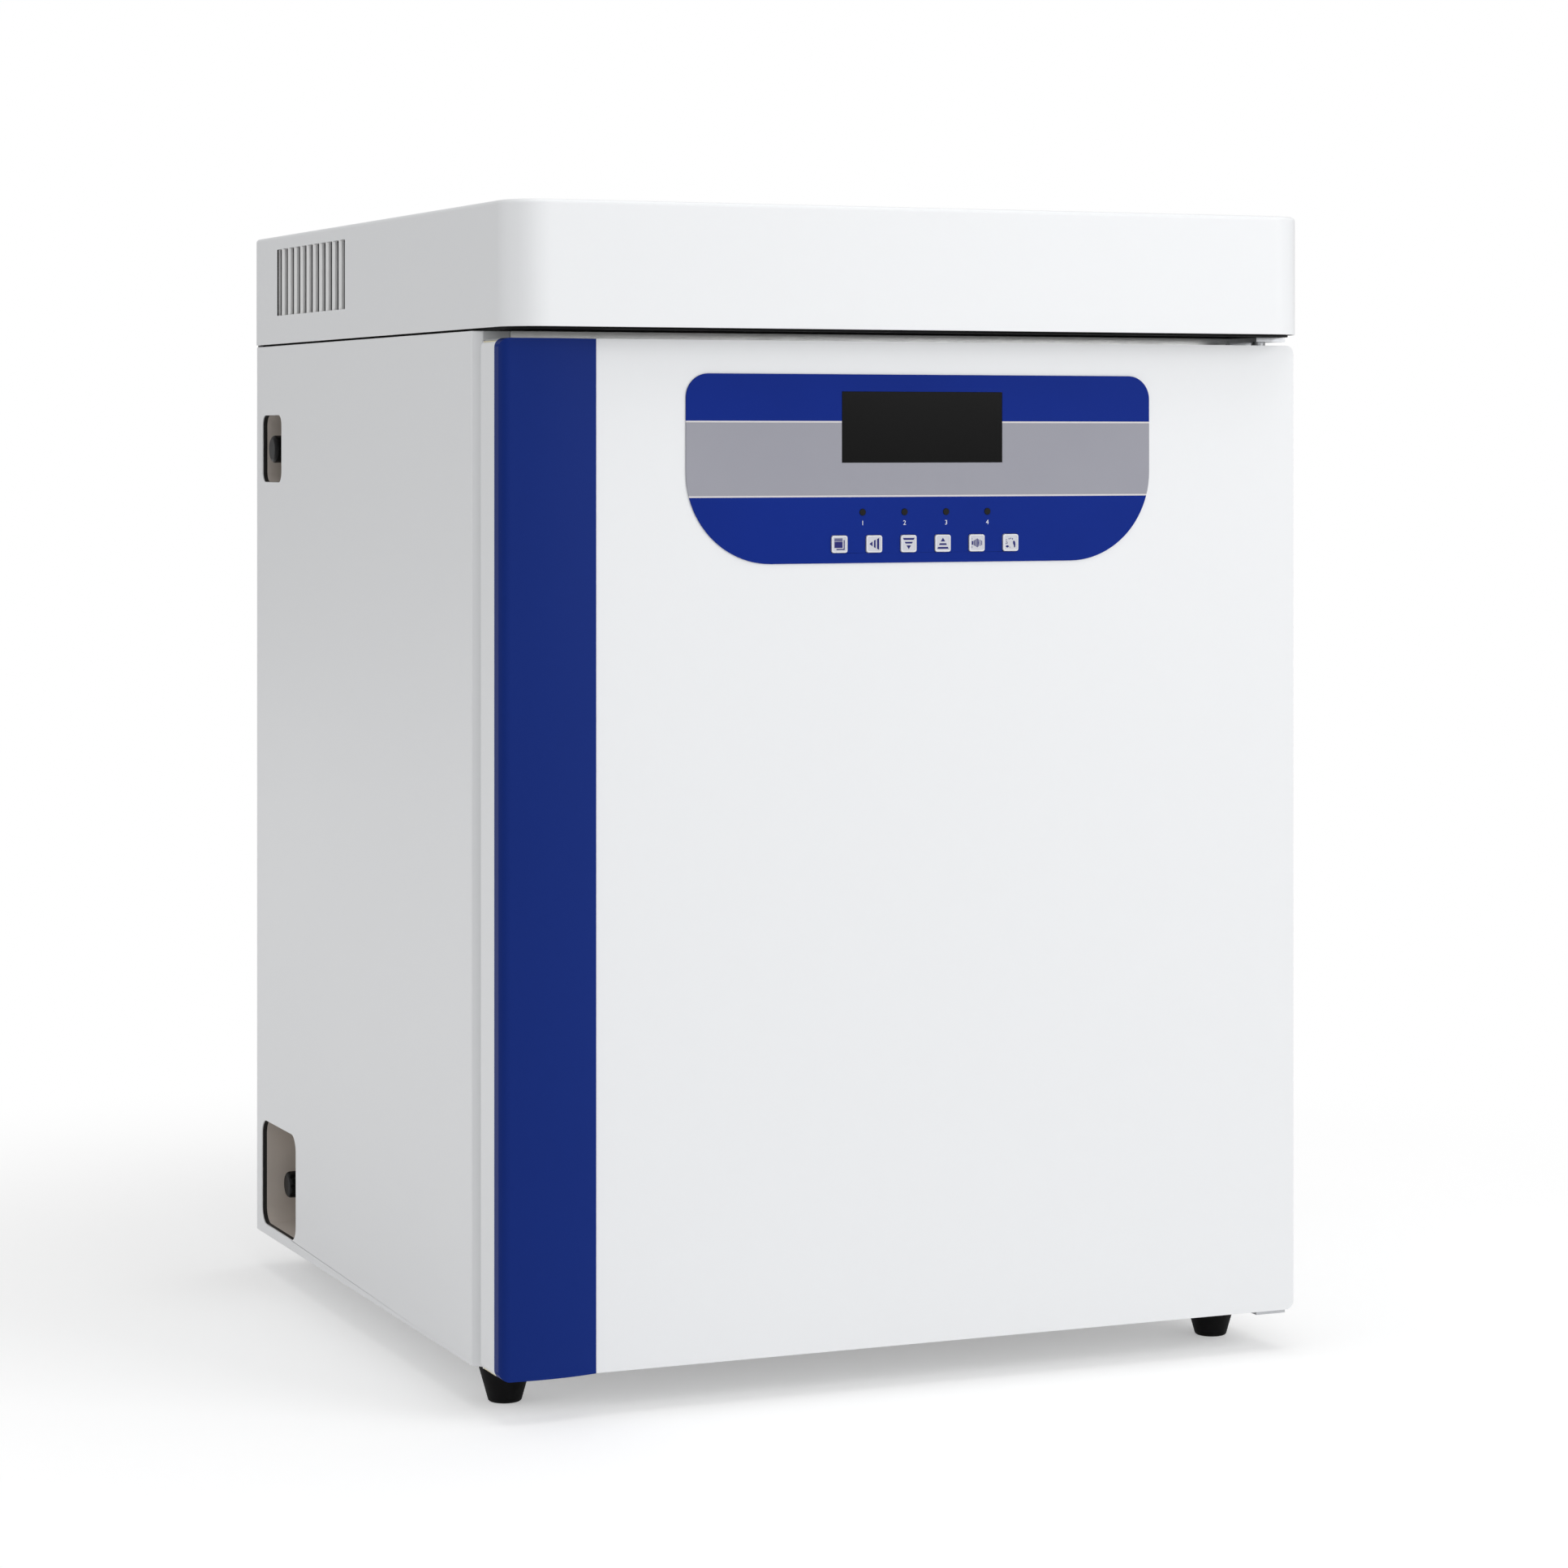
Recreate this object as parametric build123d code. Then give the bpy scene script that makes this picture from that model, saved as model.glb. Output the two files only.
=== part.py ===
from build123d import *
from math import cos, pi, sin
import os

# Carbon dioxide incubator, bench top size, water jacketed, with a solid outer door and an inner glass door.
# Millimetres. X runs across the front, -Y is the front, Z is up. The origin is on the floor,
# under the middle of the whole object.

cut_over = 1.0

# Overall case
cabinet_width = 590.0
cabinet_depth = 530.0
cabinet_height = 685.0
header_height = 84.0
header_overhang = 73.0
header_corner_radius = 28.0
header_edge_radius = 3.0
header_seam = 1.5
header_seam_inset = 5.0
sheet = 1.2
floor_sheet = 2.0
case_corner_chamfer = 6.0
front_flange = 19.0
rear_flange = 14.0
pan_flange = 18.0
seat_gap = 0.3
fit_gap = 0.15

# Feet
foot_height = 28.0
foot_top_radius = 19.0
foot_sole_radius = 11.0
foot_inset_y = 19.5
front_foot_inset_x = 28.0
rear_foot_inset_x = 62.0
foot_round = 2.0
foot_stud_reach = 2.0

# Chamber, jacket and insulation
side_wall = 95.0
floor_wall = 92.5
rear_wall = 130.0
chamber_corner_radius = 20.0
liner_sheet = 1.2
jacket_gap = 24.0
foam_gap = 0.3
service_space = 35.0
pipe_clearance = 1.0
drain_rise_inset = 4.0
heater_thickness = 3.0
heater_margin = 40.0

# Outer door
door_thickness = 37.0
door_gap = 13.4
door_top_gap = 5.8
door_bottom_gap = 1.0
door_corner_radius = 6.0
door_recess_depth = 8.0
door_recess_margin = 63.0
door_gasket_band = 22.0
door_gasket_margin = 49.0
door_gasket_corner = 12.0
door_gasket_inner_corner = 4.0
door_gasket_groove_inset = 7.7
door_gasket_groove_width = 6.6
door_gasket_groove_depth = 4.7
hinge_inset = 18.0
hinge_pin_radius = 5.0
hinge_pin_length = 18.0
hinge_bush_wall = 3.0
hinge_plate = 3.0
hinge_leaf_width = 23.0
hinge_leaf_height = 40.0
hinge_leaf_inset = 2.0
hinge_nose = 5.0
hinge_bush_floor = 2.0
running_gap = 0.05

# Handle strip on the free edge of the outer door
handle_width = 67.0
handle_rebate = 10.0
handle_bulge = 5.0
handle_corner_radius = 8.0
handle_round_back = 1.6
handle_round_front = 4.0
handle_crown_shift = 4.0
handle_lip = 0.8

# Control panel on the outer door, heights measured down from the door's top edge
overlay_left = -165.0
overlay_right = 180.0
overlay_top = 22.2
overlay_bottom = 149.2
overlay_thickness = 1.0
overlay_top_radius = 16.0
overlay_bottom_radius = 61.0
window_left = -52.5
window_right = 67.0
window_top = 33.7
window_bottom = 81.7
window_thickness = 4.3
lamp_first_x = -37.3
lamp_pitch = 31.0
lamp_count = 4
lamp_drop = 115.0
lamp_radius = 2.2
lamp_proud = 0.3
key_first_x = -54.6
key_pitch = 25.5
key_names = ["menu", "shift", "down", "up", "alarm", "lamp"]
key_drop = 136.4
key_size = 11.5
key_corner_radius = 1.5
key_gap = 0.3
key_proud = 0.9
key_travel = 0.8
key_flange = 1.2
key_flange_rim = 1.2
switch_size = 6.0
module_margin = 4.0
display_inset = 3.0
board_thickness = 1.6
board_stand_off = 5.0
board_margin = 14.0
board_space = 3.0
board_post_inset = 6.0
board_post_radius = 3.0

# Inner glass door
glass_thickness = 5.0
glass_overlap = 14.0
glass_corner_radius = 8.0
glass_gasket_band = 10.0
glass_gasket_thickness = 4.0
glass_gasket_inset = 1.0
glass_gasket_corner = 12.0
glass_gasket_inner_corner = 6.0
glass_pivot_reach = 8.0
glass_pin_radius = 2.5
glass_knuckle_radius = 4.5
glass_clamp_height = 26.0
glass_clamp_inset = 10.0
glass_clamp_grip = 14.0
glass_clamp_front = 1.5
glass_clamp_back = 1.2
glass_clamp_floor = 6.0
glass_pin_clearance = 2.0
glass_bracket_height = 12.0
glass_bracket_width = 10.0
glass_bracket_nose = 4.0
glass_knob_radius = 11.0
glass_knob_depth = 7.5
glass_knob_inset = 34.0
glass_knob_stem_radius = 4.0
glass_knob_stem = 3.0

# Shelves and water pan
shelf_first = 130.0
shelf_pitch = 120.0
shelf_names = ["lower_shelf", "middle_shelf", "upper_shelf"]
shelf_rear_gap = 44.0
shelf_front_gap = 26.0
shelf_sheet = 1.2
shelf_lip = 10.0
shelf_slot_width = 14.0
shelf_slot_rows = 4
shelf_slot_columns = 7
shelf_slot_margin_x = 10.0
shelf_slot_margin_y = 15.0
shelf_slot_share = 0.76
shelf_lip_clearance = 2.0
rack_post = 3.0
rack_post_width = 16.0
rack_post_clearance = 4.0
rack_post_inset = 40.0
runner_setback = 6.0
runner_sheet = 1.5
runner_leg = 12.0
pan_side_gap = 30.0
pan_rear_gap = 74.0
pan_height = 28.0
pan_sheet = 1.0

# Fan, duct cover, ultraviolet lamp and sensors
fan_drop = 96.0
fan_radius = 54.0
fan_depth = 17.0
fan_hub_radius = 11.0
fan_hub_setback = 2.0
fan_ring_width = 10.0
fan_cover_clearance = 5.0
fan_blade_count = 12
fan_blade_sheet = 1.4
fan_blade_inner = 30.0
fan_blade_tip_inset = 1.0
fan_blade_bow = 4.5
fan_blade_sweep = 15.0
fan_shaft_radius = 3.0
fan_shaft_seat = 2.0
fan_sleeve_bore = 7.0
fan_sleeve_wall = 2.0
motor_radius = 34.0
motor_length = 48.0
motor_stand_off = 4.0
motor_nose_radius = 9.0
motor_clearance = 2.0
duct_width = 172.0
duct_height = 148.0
duct_depth = 34.0
duct_sheet = 1.0
duct_slot_count = 9
duct_slot_width = 5.0
duct_outlet_margin_y = 8.0
duct_outlet_margin_z = 30.0
tube_radius = 8.0
tube_length = 250.0
tube_drop = 14.0
tube_forward = 20.0
tube_holder_length = 12.0
tube_holder_width = 22.0
tube_holder_drop = 10.0
probe_steps = [(9.0, 6.0), (3.0, 28.0)]
gas_sensor_steps = [(15.0, 8.0), (11.0, 24.0)]

# Recesses and ports on the left side; each recess is measured from its port's axis
upper_recess_y = (-29.4, 23.6)
upper_recess_z = (-25.3, 26.0)
upper_recess_radius = 8.0
lower_recess_y = (-68.4, 25.0)
lower_recess_z = (-31.5, 48.2)
lower_recess_radius = 12.0
recess_depth = 55.0
recess_wall = 1.5
recess_flange = 4.0
port_inset_y = 40.0
fill_port_drop = 79.0
drain_port_height = 39.5
fill_neck_radius = 8.0
fill_neck_length = 24.0
fill_bore_radius = 5.0
fill_collar_radius = 12.0
fill_collar_length = 5.0
cap_radius = 10.5
cap_length = 38.0
cap_bore_depth = 25.0
cap_setback = 1.0
cap_round = 3.0
cap_groove_first = 14.0
cap_groove_pitch = 6.0
cap_groove_width = 2.0
cap_groove_depth = 0.8
valve_radius = 9.0
valve_flange_length = 8.0
valve_collar_radius = 7.5
spindle_radius = 3.0
spindle_length = 12.0
outlet_radius = 4.0
outlet_setback = 4.0
outlet_drop = 8.0
knob_radius = 10.0
knob_length = 20.0
knob_round = 3.0
knob_flute_count = 8
flute_radius = 2.6
flute_depth = 1.0
rib_count = 4
rib_pitch = 3.4
pipe_radius = 6.0
pipe_bend = 14.0

# Vents in both sides of the header
vent_last_inset = 64.1
vent_pitch = 16.6
vent_slot_count = 11
vent_bar = 5.0
vent_low = 23.0
vent_high = 73.5
vent_sheet = 1.8
vent_flange = 5.0

# Header contents and rear connections
deck_sheet = 1.5
gas_height = 42.0
gas_tail_radius = 4.0
gas_tail_length = 20.0
gas_tail_bore = 2.5
gas_thread_radius = 6.0
gas_thread_length = 10.0
gas_hex_radius = 9.0
gas_hex_depth = 8.0
gas_pipe_radius = 4.0
gas_pipe_bend = 14.0
gas_pipe_inset_x = 50.0
gas_pipe_inset_y = 20.0
gas_pipe_reach = 4.0
gas_valve_size = (24.0, 34.0, 22.0)
gas_coil_size = (28.0, 26.0, 20.0)
gas_bracket_width = 20.0
filter_radius = 19.0
filter_length = 12.0
filter_gap = 6.0
filter_nipple_radius = 5.0
entry_inset_x = 115.0
entry_width = 46.0
entry_height = 58.0
entry_depth = 26.0
entry_flange = 2.0
entry_rim = 3.0
socket_width = 24.5
socket_height = 17.0
socket_depth = 17.0
socket_pin_length = 10.0
socket_drop = 13.0
pin_width = 2.0
pin_height = 4.0
pin_root = 1.0
pin_places = [(-7.0, -2.0), (0.0, 3.0), (7.0, -2.0)]
rocker_width = 19.0
rocker_height = 12.0
rocker_depth = 7.0
rocker_lip = 1.5
rocker_relief = 1.4
rocker_angle = 9.0
rocker_rise = 16.0
rocker_heel = 3.0
rocker_well = 11.0
rocker_gap = 0.4
supply_size = (110.0, 180.0, 42.0)
supply_place = (120.0, 250.0)
logic_size = (160.0, 120.0)
logic_place = (-70.0, 200.0)
logic_stand_off = 10.0
logic_post_inset = 8.0
logic_post_radius = 3.5
transformer = (-40.0, -20.0, 40.0, 40.0, 26.0)
processor = (25.0, 0.0, 40.0, 40.0, 6.0)
first_relay = (-51.0, 39.0, 18.0, 22.0, 16.0)
relay_pitch = 24.0
relay_count = 4
screw_head_radius = 3.6
screw_head_height = 2.0
screw_shank_radius = 1.9
screw_hole_radius = 2.1
screw_length = 7.0
rear_screw_low = 40.0
rear_screw_high = 30.0

# Places worked out from the sizes above
right_x = cabinet_width / 2
left_x = -right_x
total_depth = header_overhang + cabinet_depth + gas_hex_depth + gas_tail_length
front_y = header_overhang - total_depth / 2
rear_y = front_y + cabinet_depth
header_front_y = front_y - header_overhang
chamber_width = cabinet_width - 2 * side_wall
chamber_depth = cabinet_depth - rear_wall
chamber_height = cabinet_height - 2 * floor_wall
base_z = foot_height
case_top_z = base_z + cabinet_height
header_top_z = case_top_z + header_height
deck_top_z = case_top_z + header_seam + deck_sheet
chamber_right = chamber_width / 2
chamber_back_y = front_y + chamber_depth
chamber_floor_z = base_z + floor_wall
chamber_top_z = chamber_floor_z + chamber_height
tank_wall_offset = liner_sheet + jacket_gap + liner_sheet
tank_right = chamber_right + tank_wall_offset
tank_floor_z = chamber_floor_z - tank_wall_offset
tank_top_z = chamber_top_z + tank_wall_offset
tank_back_y = chamber_back_y + tank_wall_offset
tank_front_y = front_y + sheet
door_back_y = front_y - door_gap
door_front_y = door_back_y - door_thickness
door_top_z = case_top_z - door_top_gap
door_bottom_z = base_z + door_bottom_gap
hinge_x = right_x - hinge_inset
hinge_bush_length = hinge_pin_length + hinge_bush_floor
hinge_y = (door_back_y + door_front_y) / 2
handle_right_x = left_x + handle_width
handle_rebate_y = door_front_y + handle_rebate
overlay_front_y = door_front_y - overlay_thickness
panel_inner_y = door_front_y + sheet
board_front_y = panel_inner_y + board_stand_off
key_back_y = door_front_y + fit_gap + key_flange
key_z = door_top_z - key_drop
lamp_z = door_top_z - lamp_drop
glass_back_y = front_y - glass_gasket_thickness - seat_gap
glass_front_y = glass_back_y - glass_thickness
glass_right = chamber_right + glass_overlap
glass_top_z = chamber_top_z + glass_overlap
glass_bottom_z = chamber_floor_z - glass_overlap
glass_pivot_x = glass_right + glass_pivot_reach
glass_pivot_y = (glass_back_y + glass_front_y) / 2
fan_z = chamber_top_z - fan_drop
recess_back_x = left_x + sheet + recess_depth
fill_z = case_top_z - fill_port_drop
drain_z = base_z + drain_port_height
port_axis_y = rear_y - port_inset_y
upper_recess = (upper_recess_y, upper_recess_z, upper_recess_radius, fill_z)
lower_recess = (lower_recess_y, lower_recess_z, lower_recess_radius, drain_z)
gas_z = case_top_z + gas_height
gas_x = gas_pipe_inset_x - chamber_right
gas_down_y = chamber_back_y - gas_pipe_inset_y
entry_x = right_x - entry_inset_x
entry_z = case_top_z + header_height / 2
rack_inner = chamber_right - rack_post - runner_sheet
shelf_front_y = front_y + shelf_front_gap
shelf_depth = chamber_depth - shelf_front_gap - shelf_rear_gap
pan_width = chamber_width - 2 * pan_side_gap
pan_depth = chamber_depth - shelf_front_gap - pan_rear_gap
probe_x = (duct_width / 2 + chamber_right - chamber_corner_radius) / 2
fan_front_y = chamber_back_y - duct_depth + duct_sheet + fan_cover_clearance
recess_outer_x = recess_back_x - recess_wall
socket_z = entry_z - socket_drop
rocker_z = entry_z + rocker_rise
pan_corner = case_corner_chamfer / 2 ** 0.5 + 2 * sheet
drain_rise_y = tank_back_y - pipe_radius - drain_rise_inset


def block(xs, ys, zs):
    """A rectangular solid between two limits along each axis."""
    sizes = [high - low for low, high in (xs, ys, zs)]
    centre = [(low + high) / 2 for low, high in (xs, ys, zs)]
    return Pos(*centre) * Box(*sizes)


def rod(radius, start, end):
    """A round bar from one point to another."""
    axis = Vector(end) - Vector(start)
    seat = Plane(origin=start, z_dir=axis)
    return seat * Cylinder(radius, axis.length, align=(Align.CENTER, Align.CENTER, Align.MIN))


def pipe(radius, points, bend):
    """A round bar swept along straight runs with rounded corners."""
    path = FilletPolyline(*points, radius=bend)
    return sweep(Plane(origin=path @ 0, z_dir=path % 0) * Circle(radius), path=path)


def front_view(y):
    """Sketch plane seen from the front: sketch x is X, sketch y is Z, and it extrudes towards -Y."""
    return Plane(origin=(0, y, 0), x_dir=(1, 0, 0), z_dir=(0, -1, 0))


def side_view(x):
    """Sketch plane of a side wall: sketch x is Y, sketch y is Z, and it extrudes towards +X."""
    return Plane(origin=(x, 0, 0), x_dir=(0, 1, 0), z_dir=(1, 0, 0))


def rounded(xs, ys, low_radius, high_radius=None):
    """A rectangle with rounded corners, placed by its limits."""
    shape = Rectangle(xs[1] - xs[0], ys[1] - ys[0])
    groups = shape.vertices().group_by(Axis.Y)
    high_radius = low_radius if high_radius is None else high_radius
    shape = fillet(groups[-1], high_radius)
    shape = fillet(shape.vertices().group_by(Axis.Y)[0], low_radius)
    return Pos((xs[0] + xs[1]) / 2, (ys[0] + ys[1]) / 2) * shape


def grown(limits, amount):
    """Limits moved outwards by the same amount at both ends."""
    return (limits[0] - amount, limits[1] + amount)


def around(middle, size):
    """Limits of a length centred on a place."""
    return (middle - size / 2, middle + size / 2)


def turned(steps, start, way):
    """A turned piece: rods of given radius and length, one after another along a unit direction."""
    at = Vector(*start)
    pieces = []
    for radius, length in steps:
        end = at + Vector(*way) * length
        pieces.append(rod(radius, at, end))
        at = end
    return pieces[0] + pieces[1:]


def folded_sheet(points, thickness, side, low_z, high_z):
    """A sheet folded along upright lines, drawn by its outer face in plan."""
    outline = offset(Polyline(*points), amount=thickness, side=side, kind=Kind.INTERSECTION)
    return extrude(Pos(0, 0, low_z) * make_face(outline.edges()), high_z - low_z)


def upright_ring(inner_xs, inner_zs, band, ys, corners):
    """A flat frame in the plane of the front, drawn by its inner limits and the width of its band."""
    outer_radius, inner_radius = corners
    outer = rounded(grown(inner_xs, band), grown(inner_zs, band), outer_radius)
    outline = outer - rounded(inner_xs, inner_zs, inner_radius)
    return extrude(front_view(ys[1]) * outline, ys[1] - ys[0])


# Case

def foot_places():
    """Centres of the feet, the rear pair set further in than the front pair."""
    front_x = right_x - front_foot_inset_x
    rear_x = right_x - rear_foot_inset_x
    rows = [(front_x, front_y + foot_inset_y), (rear_x, rear_y - foot_inset_y)]
    return [(side * x, y) for x, y in rows for side in (-1, 1)]


def feet():
    """Four tapered rubber feet, each with a stud through the base pan."""
    taper = Solid.make_cone(foot_sole_radius, foot_top_radius, foot_height)
    foot = fillet(taper.edges().sort_by(Axis.Z)[0], foot_round)
    stud = rod(screw_shank_radius, (0, 0, foot_height), (0, 0, foot_height + floor_sheet + foot_stud_reach))
    return [Pos(x, y, 0) * (foot + stud) for x, y in foot_places()]


def base_pan():
    """Bottom tray of the case, open upwards, with clearance for the lower recess."""
    xs = (left_x + sheet, right_x - sheet)
    ys = (front_y + sheet, rear_y - 2 * sheet)
    pan = block(xs, ys, (base_z, base_z + pan_flange))
    pan -= block(grown(xs, -sheet), grown(ys, -sheet), (base_z + floor_sheet, base_z + pan_flange))
    for x, y in foot_places():
        pan -= rod(screw_hole_radius, (x, y, base_z), (x, y, base_z + floor_sheet))
    for side in (-1, 1):
        corner = Pos(side * right_x, front_y, base_z) * Rot(0, 0, 45)
        pan -= corner * Box(2 * pan_corner, 2 * pan_corner, 3 * pan_flange)
    notch_y = grown(recess_limits(lower_recess_y, port_axis_y), recess_wall + recess_flange + pipe_clearance)
    return pan - block((left_x, left_x + 3 * sheet), notch_y, (base_z + floor_sheet, case_top_z))


def side_panel(side):
    """Side sheet of the case, folded to a chamfered front corner, a front flange and a rear flange."""
    edge = side * right_x
    inner = side * (right_x - case_corner_chamfer)
    points = [
        (edge - side * rear_flange, rear_y - sheet),
        (edge, rear_y - sheet),
        (edge, front_y + case_corner_chamfer),
        (inner, front_y),
        (inner - side * front_flange, front_y),
    ]
    fold = Side.RIGHT if side > 0 else Side.LEFT
    panel = folded_sheet(points, sheet, fold, base_z, case_top_z)
    for x, z in rear_holes():
        if x * side > 0:
            panel -= rod(screw_hole_radius, (x, rear_y - 3 * sheet, z), (x, rear_y, z))
    return panel


def recess_limits(limits, axis):
    """Limits given from the axis of a recess's port, moved into the frame."""
    return (axis + limits[0], axis + limits[1])


def recess_outline(recess, amount=0.0):
    """Rounded outline of a side recess, optionally grown all round."""
    ys, zs, radius, port_z = recess
    ys = grown(recess_limits(ys, port_axis_y), amount)
    return rounded(ys, grown(recess_limits(zs, port_z), amount), radius + amount)


def left_side_panel():
    """Left side sheet with the cut-outs of the two recesses."""
    panel = side_panel(-1)
    for recess in (upper_recess, lower_recess):
        panel -= extrude(side_view(left_x - cut_over) * recess_outline(recess), 2 * sheet + cut_over)
    return panel


def port_recess(recess, port_radius):
    """Moulded tub behind a cut-out of the side panel, with a flange on the panel's inner face."""
    port_z = recess[3]
    face_x = left_x + sheet
    tub = extrude(side_view(face_x) * recess_outline(recess, recess_wall), recess_depth)
    tub += extrude(side_view(face_x) * recess_outline(recess, recess_wall + recess_flange), recess_wall)
    tub -= extrude(side_view(face_x) * recess_outline(recess), recess_depth - recess_wall)
    hole_end = recess_back_x + cut_over
    return tub - rod(port_radius, (face_x, port_axis_y, port_z), (hole_end, port_axis_y, port_z))


def front_frame():
    """Flat plate round the mouth of the chamber, between the flanges of the side panels."""
    reach = right_x - case_corner_chamfer - front_flange - fit_gap
    plate = block((-reach, reach), (front_y, front_y + sheet), (base_z, case_top_z))
    mouth = rounded(
        grown((-chamber_right, chamber_right), liner_sheet),
        grown((chamber_floor_z, chamber_top_z), liner_sheet),
        chamber_corner_radius + liner_sheet,
    )
    return plate - extrude(front_view(front_y + sheet + cut_over) * mouth, sheet + 2 * cut_over)


def rear_holes():
    """Places of the screws round the rear panel."""
    inset = rear_flange / 2 + sheet
    heights = [base_z + rear_screw_low, base_z + cabinet_height / 2, case_top_z - rear_screw_high]
    return [(side * (right_x - inset), z) for side in (-1, 1) for z in heights]


def rear_panel():
    """One rear sheet behind the case and the header, cut for the connections."""
    panel = block((left_x + sheet, right_x - sheet), (rear_y - sheet, rear_y), (base_z, header_top_z - sheet))
    panel -= block(
        around(entry_x, entry_width + 2 * fit_gap),
        grown((rear_y - sheet, rear_y), cut_over),
        around(entry_z, entry_height + 2 * fit_gap),
    )
    holes = [(gas_thread_radius, gas_x, gas_z)] + [(screw_hole_radius, x, z) for x, z in rear_holes()]
    for radius, x, z in holes:
        panel -= rod(radius, (x, rear_y - 2 * sheet, z), (x, rear_y + cut_over, z))
    return panel


def case_screws():
    """Pan head screws that hold the rear panel."""
    screws = []
    for x, z in rear_holes():
        head = rod(screw_head_radius, (x, rear_y, z), (x, rear_y + screw_head_height, z))
        shank = rod(screw_shank_radius, (x, rear_y - screw_length, z), (x, rear_y, z))
        screws.append(head + shank)
    return screws


def header_outline(inset):
    """Plan of the header, rounded at its two front corners."""
    width = cabinet_width - 2 * inset
    depth = header_overhang + cabinet_depth - inset
    plan = Rectangle(width, depth)
    plan = fillet(plan.vertices().group_by(Axis.Y)[0], header_corner_radius - inset)
    return Pos(0, header_front_y + inset + depth / 2) * plan


def header_cover():
    """Painted hood over the case, open below and behind, with a vent opening in each side."""
    low = case_top_z + header_seam
    hood = extrude(Pos(0, 0, low) * header_outline(0), header_top_z - low)
    rim = hood.faces().sort_by(Axis.Z)[-1].edges().filter_by(lambda edge: edge.center().Y < rear_y - sheet)
    hood = fillet(rim, header_edge_radius)
    hood -= extrude(Pos(0, 0, low) * header_outline(sheet), header_top_z - low - sheet)
    ys, zs = vent_limits()
    hood -= block(grown((left_x, right_x), cut_over), ys, zs)
    return hood


def header_floor():
    """Deck between the case and the hood, stepped in below the hood's edge so that a dark seam is left."""
    deck = extrude(Pos(0, 0, case_top_z) * header_outline(header_seam_inset), header_seam)
    deck += extrude(Pos(0, 0, case_top_z + header_seam) * header_outline(sheet), deck_sheet)
    zs = grown((case_top_z, deck_top_z), cut_over)
    deck -= block((left_x, right_x), (rear_y - sheet, rear_y + cut_over), zs)
    axis_xy = (gas_x, gas_down_y)
    return deck - rod(gas_pipe_radius + pipe_clearance, (*axis_xy, zs[0]), (*axis_xy, zs[1]))


def vent_limits():
    """Y and Z limits of the vent openings in the header."""
    slot = vent_pitch - vent_bar
    last = rear_y - vent_last_inset + slot / 2
    first = last - (vent_slot_count - 1) * vent_pitch - slot
    return (first, last), (case_top_z + vent_low, case_top_z + vent_high)


def vent_grilles():
    """Moulded grilles, a flat bar field in each opening with a rim behind the hood's sheet."""
    ys, zs = vent_limits()
    rim = block((0, vent_sheet), grown(ys, vent_flange), grown(zs, vent_flange))
    rim -= block((0, vent_sheet), ys, zs)
    bars = []
    for index in range(1, vent_slot_count):
        low_y = ys[0] + index * vent_pitch - vent_bar
        bar = block((-sheet, vent_sheet), (low_y, low_y + vent_bar), zs)
        bars.append(chamfer(bar.edges().filter_by(Axis.Z).group_by(Axis.X)[0], vent_bar / 4))
    grille = rim + bars
    left = Pos(left_x + sheet, 0, 0) * grille
    return [left, mirror(left, about=Plane.YZ)]


# Chamber, jacket and insulation

def chamber_solid(amount):
    """Inside of the chamber grown by an amount, with coved corners."""
    room = block(
        grown((-chamber_right, chamber_right), amount),
        (front_y, chamber_back_y + amount),
        grown((chamber_floor_z, chamber_top_z), amount),
    )
    back = room.faces().sort_by(Axis.Y)[-1]
    return fillet(room.edges().filter_by(Axis.Y) + back.edges(), chamber_corner_radius + amount)


def chamber_liner():
    """Seamless stainless inner chamber with coved corners and holes for fan, gas and sensors."""
    liner = chamber_solid(liner_sheet) - chamber_solid(0)
    liner -= rod(fan_sleeve_bore, (0, chamber_back_y - cut_over, fan_z), (0, tank_back_y, fan_z))
    pipe_low = (gas_x, gas_down_y, chamber_top_z - cut_over)
    return liner - rod(gas_pipe_radius + fit_gap, pipe_low, (gas_x, gas_down_y, tank_top_z))


def jacket_tank():
    """Outer wall of the water jacket, closed at the front, with a sleeve for the fan shaft."""
    xs = (-tank_right, tank_right)
    ys = (tank_front_y, tank_back_y)
    zs = (tank_floor_z, tank_top_z)
    tank = block(xs, ys, zs)
    tank -= block(grown(xs, -liner_sheet), grown(ys, -liner_sheet), grown(zs, -liner_sheet))
    sleeve_start = (0, chamber_back_y + liner_sheet, fan_z)
    tank += rod(fan_sleeve_bore + fan_sleeve_wall, sleeve_start, (0, tank_back_y, fan_z))
    tank -= rod(fan_sleeve_bore, (0, chamber_back_y, fan_z), (0, tank_back_y + cut_over, fan_z))
    tank -= chamber_solid(liner_sheet)
    pipe_high = (gas_x, gas_down_y, tank_top_z + cut_over)
    return tank - rod(gas_pipe_radius + fit_gap, (gas_x, gas_down_y, chamber_top_z), pipe_high)


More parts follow.
